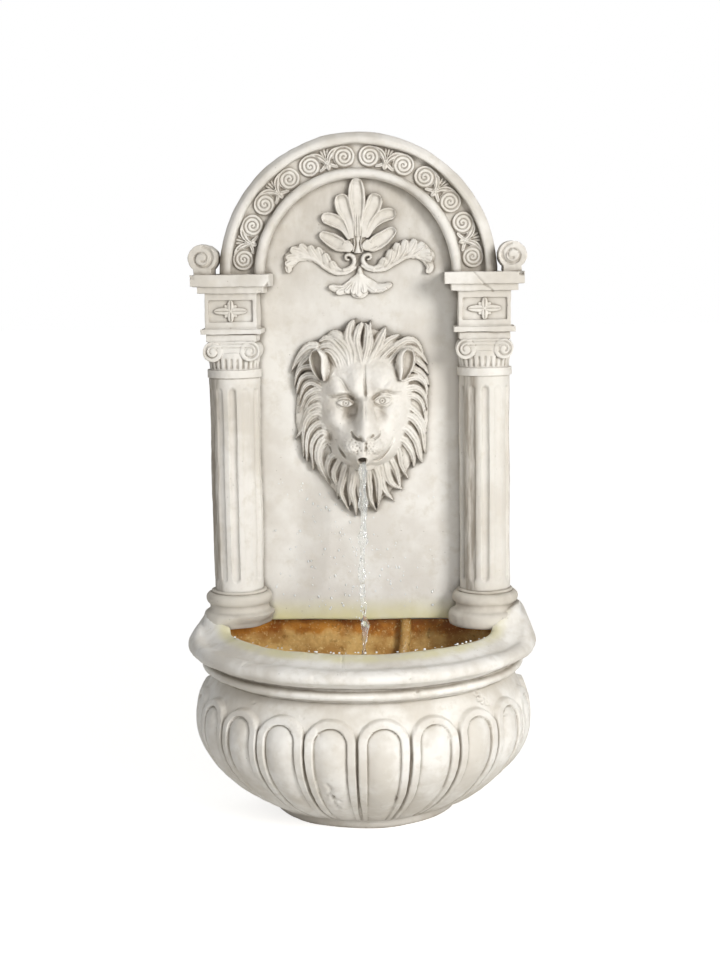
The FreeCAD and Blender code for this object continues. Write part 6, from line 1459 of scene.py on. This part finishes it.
def spangled_zinc(name):
    """Hot-dip galvanised sheet: flat grey crystals about 5 mm across, each with its own sheen."""
    material, tree, shader, place = blank(name, Metallic=0.9)
    crystals = add(tree, "ShaderNodeTexVoronoi", {"Scale": 1 / (5 * MM), "Vector": place}, feature="F1")
    tint = add(tree, "ShaderNodeSeparateColor", {0: crystals.outputs["Color"]}).outputs[0]
    tree.links.new(mixed(tree, tint, linear("9EA3A6"), linear("C2C6C8")), shader.inputs["Base Color"])
    tree.links.new(ramp(tree, tint, 0.0, 1.0, 0.34, 0.56), shader.inputs["Roughness"])
    return material


for side, word in SIDES:
    finish(f"hanger_plate_{word}", spangled_zinc("galvanised_sheet_" + word))

# The back of the hollow tower: a fibre-cement board, pressed grey and smooth, screwed into the casting,
# with a rubber grommet for the pump's lead.
finish("rear_cover", grained("pressed_fibre_cement_board", "A9A69E", "97948C", 9, bump=0.3, depth=0.3,
                             Roughness=0.85))
rubber = grained("moulded_black_rubber", "1E1E1F", "272728", 4, bump=0.25, Roughness=0.62)
for node in ("cable_grommet", "pump_feet", "chamber_seal", "shaft_bushes"):
    finish(node, rubber)
finish("drain_plug", grained("wet_black_rubber_plug", "202022", "2B2A28", 5, bump=0.2, Roughness=0.4))

# The pump: a black ABS shell with a grille that lifts off and a grey flow dial. Inside it the rotor's
# ferrite magnet turns on a ceramic shaft, driven by a wound steel core that is cast in resin.
shell = grained("spark_textured_black_abs", "1B1C1E", "242528", 5, bump=0.3, depth=0.15, Roughness=0.5)
finish("pump_body", shell)
finish("intake_cover", shell)
finish("impeller_chamber", grained("smooth_black_abs", "202124", "191A1C", 5, Roughness=0.38))
finish("flow_dial", grained("moulded_grey_acetal", "8B8F92", "7E8285", 5, Roughness=0.42))
finish("rotor", grained("pressed_ferrite_and_nylon", "3A3B3D", "2E2F31", 4, bump=0.2, Roughness=0.5))
finish("rotor_shaft", grained("ground_white_ceramic", "E6E3DA", "DCD8CE", 4, bump=0.05, Roughness=0.2))


def stacked_sheets(name, first, second, pitch, **surface):
    """A stack of sheets or of wires, whose edges show as fine lines pitch mm apart."""
    material, tree, shader, place = blank(name, **surface)
    lines = add(tree, "ShaderNodeTexWave", {"Vector": place, "Scale": 0.314 / (pitch * MM)},
                wave_type="BANDS", bands_direction="Z").outputs["Fac"]
    tree.links.new(mixed(tree, lines, linear(first), linear(second)), shader.inputs["Base Color"])
    roughen(tree, shader, lines, 0.6, 0.2)
    return material


finish("stator_core", stacked_sheets("laminated_electrical_steel", "6E7174", "4B4D50", 0.9, Metallic=1.0,
                                     Roughness=0.5))
finish("stator_coil", stacked_sheets("enamelled_copper_winding", "A85E2C", "7C3F1C", 0.9, Metallic=0.8,
                                     Roughness=0.35))


# The water: a thin stream falls from the spout and wavers, the basin stands half full, and spray beads on
# the panel's lower half and on the rim.
WATER_LEVEL, WATER_RADIUS, WATER_BACK = 150, 168, 10.5
SPOUT_Z, SPOUT_FRONT = 416.5, 98
LANDING_DEPTH = 138
STREAM_X = 4


def clear_water(name, clear=0.9):
    """Water: smooth and bending light by its own index, with a diffuse white share mixed in as painted
    highlight, the larger the less clear it is.
    """
    material, tree, shader, place = blank(name, Roughness=0.03, IOR=1.333)
    shader.inputs["Base Color"].default_value = linear("F6F8F8")
    shader.inputs["Transmission Weight"].default_value = clear
    roughen(tree, shader, patches(tree, place, 4, 3), 0.35, 0.8)
    return material


def strand(name, bends, start, end, width, seed):
    """One strand of the stream: a tube that follows the fall, swells and thins, and turns on itself."""
    piece, around, along = new_grid(name, 28, 300)
    height = start + (end - start) * along
    knots_z, knots_x = np.array(bends, float).T
    middle = sum(np.interp(height + shift, knots_z[::-1], knots_x[::-1]) for shift in (-9, -5, 0, 5, 9)) / 5
    fall = (SPOUT_Z - height) / (SPOUT_Z - WATER_LEVEL)
    depth = SPOUT_FRONT + (LANDING_DEPTH - SPOUT_FRONT) * np.sqrt(np.clip(fall, 0, 1))
    turn = 2 * math.pi * around
    wave = np.array([noise.noise(Vector((math.cos(a) * 1.1, math.sin(a) * 1.1, h / 9 + seed)))
                     for a, h in zip(turn, height)])
    pulse = 1 + 0.22 * np.sin(height / 7.5 + seed) + 0.12 * np.sin(height / 2.9)
    half = width / 2 * (1 - 0.34 * np.clip(fall, 0, 1)) * pulse * (1 + 0.6 * wave)
    half = half * smooth(0, 0.012, along) * smooth(1, 0.985, along)
    twist = height / 11 + seed
    u, w = half * np.cos(turn), 0.55 * half * np.sin(turn)
    set_points(piece, np.column_stack([middle + u * np.cos(twist) - w * np.sin(twist),
                                       WALL - depth + 0.6 * (u * np.sin(twist) + w * np.cos(twist)), height]))
    close_up(piece)
    return piece


water = clear_water("clear_running_water")
BENDS = [(418, 4.5), (380, 4.6), (360, 5.6), (342, 4.8), (320, 4.8), (305, 3.0), (285, 3.0), (270, 3.8),
         (255, 5.6), (238, 5.6), (224, 6.0), (205, 4.4), (150, 4.6)]
SIDE_BENDS = [(418, 6.2), (400, 7.6), (380, 6.6), (365, 8.4), (350, 6.6), (330, 6.2)]
for name, bends, end, width, seed in (("water_stream", BENDS, WATER_LEVEL + 0.5, 9.0, 1.0),
                                      ("water_side_thread", SIDE_BENDS, 334, 4.2, 4.0)):
    stream = strand(name, bends, SPOUT_Z, end, width, seed)
    dress(stream, water)
    stand_in(stream, None)


def make_pool():
    """The pool's surface with the rings that the stream makes, over a thin layer of water."""
    pool, across, back = new_grid("basin_water", 220, 130)
    centre = bowl_centre(WATER_RADIUS)
    half = math.sqrt(WATER_RADIUS ** 2 - (centre - WATER_BACK) ** 2)
    x = half * np.sin(math.pi / 2 * (2 * across - 1)) * 0.999
    front = centre + np.sqrt(np.clip(WATER_RADIUS ** 2 - x ** 2, 0, None))
    depth = WATER_BACK + (front - WATER_BACK) * back
    away = np.hypot(x - BENDS[-1][1], depth - LANDING_DEPTH)
    lift = 1.3 * np.cos(away / 3.0) * np.exp(-away / 26) + 0.35 * np.sin(x / 6 + depth / 9)
    set_points(pool, np.column_stack([x, WALL - depth, WATER_LEVEL + lift]))
    modify(pool, "SOLIDIFY", thickness=1.5 * MM)
    close_up(pool)
    return pool


pool = make_pool()
dress(pool, water)
stand_in(pool, None)


def scatter(name, places, rng):
    """Beads of water, each a flattened ball, joined in one piece."""
    bpy.ops.object.select_all(action="DESELECT")
    beads = []
    for place, squash in places:
        bpy.ops.mesh.primitive_ico_sphere_add(subdivisions=3, radius=MM)
        bead = bpy.context.object
        size = 0.58 + 0.75 * rng.random() ** 2.2
        points = points_of(bead) * size * (np.array(squash) * (0.85 + 0.3 * rng.random(3)))
        set_points(bead, points + np.array(place))
        beads.append(bead)
    take(beads[0])
    for bead in beads:
        bead.select_set(True)
    bpy.ops.object.join()
    return named(name)


PANEL_BEADS, RIM_BEADS, AIR_BEADS = 180, 46, 26
rng = np.random.default_rng(7)
places = []
while len(places) < PANEL_BEADS:
    x, z = rng.normal(STREAM_X, 52), 236 + 150 * rng.random() ** 1.15
    if abs(x) < 104 and abs(x - STREAM_X) > 8:
        places.append(((x, WALL - PANEL_FACE - 0.2, z), (1, 0.6, 1.25)))
for index in range(RIM_BEADS):
    turn = math.radians(rng.uniform(-62, 62))
    radius = rng.uniform(163.2, 167.2)
    places.append(((radius * math.sin(turn), WALL - bowl_centre(radius) - radius * math.cos(turn), 223.6),
                   (1.1, 1.1, 0.7)))
for index in range(AIR_BEADS):
    height = rng.uniform(230, 330)
    places.append(((STREAM_X + rng.normal(0, 6), WALL - 128 + rng.normal(0, 5), height), (0.8, 0.8, 1.1)))
spray = scatter("spray_beads", places, rng)
# The beads are mostly diffuse white, not clear: painted highlight that makes them read as glints.
dress(spray, clear_water("water_beads_painted_white_as_glints", clear=0.15))
stand_in(spray, None)


# The studio: a pale floor that takes the fountain's shadow, a white surround, one large lamp from the
# right, a broad one in front and a weak one from the left. The camera stands where the photograph was taken.
# Lamps and camera are placed in metres.
FLOOR_GLOW, SURROUND_LIGHT = 0.72, 0.32


def seen_straight(tree):
    """1 for rays that come straight from the camera, off a gloss or through water, otherwise 0."""
    path = add(tree, "ShaderNodeLightPath")
    seen = combine(tree, "MAXIMUM", path.outputs["Is Camera Ray"], path.outputs["Is Glossy Ray"])
    return combine(tree, "MAXIMUM", seen, path.outputs["Is Transmission Ray"])


def white_floor():
    """Pale paper that is white to the camera where it is lit and keeps the shadow."""
    material, tree, shader, place = blank("pale_floor_paper", Roughness=0.9)
    shader.inputs["Base Color"].default_value = linear("E6E4E0")
    roughen(tree, shader, patches(tree, place, 8, 3, 0.5), 0.05, 0.5)
    lift = combine(tree, "MULTIPLY", seen_straight(tree), FLOOR_GLOW)
    glow = add(tree, "ShaderNodeEmission", {"Color": (1, 1, 1, 1), "Strength": lift})
    both = add(tree, "ShaderNodeAddShader", {0: shader.outputs[0], 1: glow.outputs[0]})
    tree.links.new(both.outputs[0], tree.nodes["Material Output"].inputs["Surface"])
    return material


bpy.ops.object.select_all(action="DESELECT")
bpy.ops.mesh.primitive_plane_add(size=30)
floor_paper = bpy.context.object
floor_paper.name = "studio_floor"
floor_paper.data.materials.append(white_floor())

world = bpy.data.worlds.new("white_surround")
bpy.context.scene.world = world
world.use_nodes = True
sky = world.node_tree
strength = add(sky, "ShaderNodeMapRange", {0: seen_straight(sky), 3: SURROUND_LIGHT, 4: 1.0})
background = sky.nodes["Background"]
background.inputs["Color"].default_value = (1, 1, 1, 1)
sky.links.new(strength.outputs[0], background.inputs["Strength"])


def soft_lamp(name, place, target, size, power, colour):
    """A square lamp aimed at a point, with sizes in metres."""
    lamp = bpy.data.lights.new(name, "AREA")
    lamp.size = size
    lamp.energy = power
    lamp.color = linear(colour)[:3]
    stand = bpy.data.objects.new(name, lamp)
    bpy.context.scene.collection.objects.link(stand)
    stand.location = place
    stand.rotation_euler = (Vector(target) - Vector(place)).to_track_quat("-Z", "Y").to_euler()


soft_lamp("key_from_the_right", (1.2, -1.7, 1.0), (0, 0.1, 0.3), 0.65, 33.5, "FFFDFA")
soft_lamp("broad_front_light", (0.3, -2.4, 0.55), (0, 0.1, 0.25), 1.1, 8, "FFFEFC")
soft_lamp("fill_from_the_left", (-1.6, -2.2, 0.7), (0, 0.1, 0.3), 1.4, 4, "F8F9FF")

CAMERA_TURN, CAMERA_RISE, CAMERA_ROLL = math.radians(2.34), math.radians(7.40), math.radians(0.75)
CAMERA_AWAY, CAMERA_LENS = 1.955, 62.59
LOOKED_AT = Vector((-0.0026, 0.125, 0.3831))
camera_data = bpy.data.cameras.new("photograph_view")
camera = bpy.data.objects.new("photograph_view", camera_data)
bpy.context.scene.collection.objects.link(camera)
bpy.context.scene.camera = camera
camera_data.sensor_width = 36
camera_data.lens = CAMERA_LENS
back = Vector((math.sin(CAMERA_TURN) * math.cos(CAMERA_RISE), -math.cos(CAMERA_TURN) * math.cos(CAMERA_RISE),
               math.sin(CAMERA_RISE)))
right = (-back).cross(Vector((0, 0, 1))).normalized()
up = right.cross(-back)
rolled_right = right * math.cos(CAMERA_ROLL) - up * math.sin(CAMERA_ROLL)
rolled_up = right * math.sin(CAMERA_ROLL) + up * math.cos(CAMERA_ROLL)
camera.rotation_euler = Matrix((rolled_right, rolled_up, back)).transposed().to_euler()
camera.location = LOOKED_AT + back * CAMERA_AWAY
camera_data.clip_start, camera_data.clip_end = 0.05, 50

view = bpy.context.scene.view_settings
view.view_transform = "Standard"
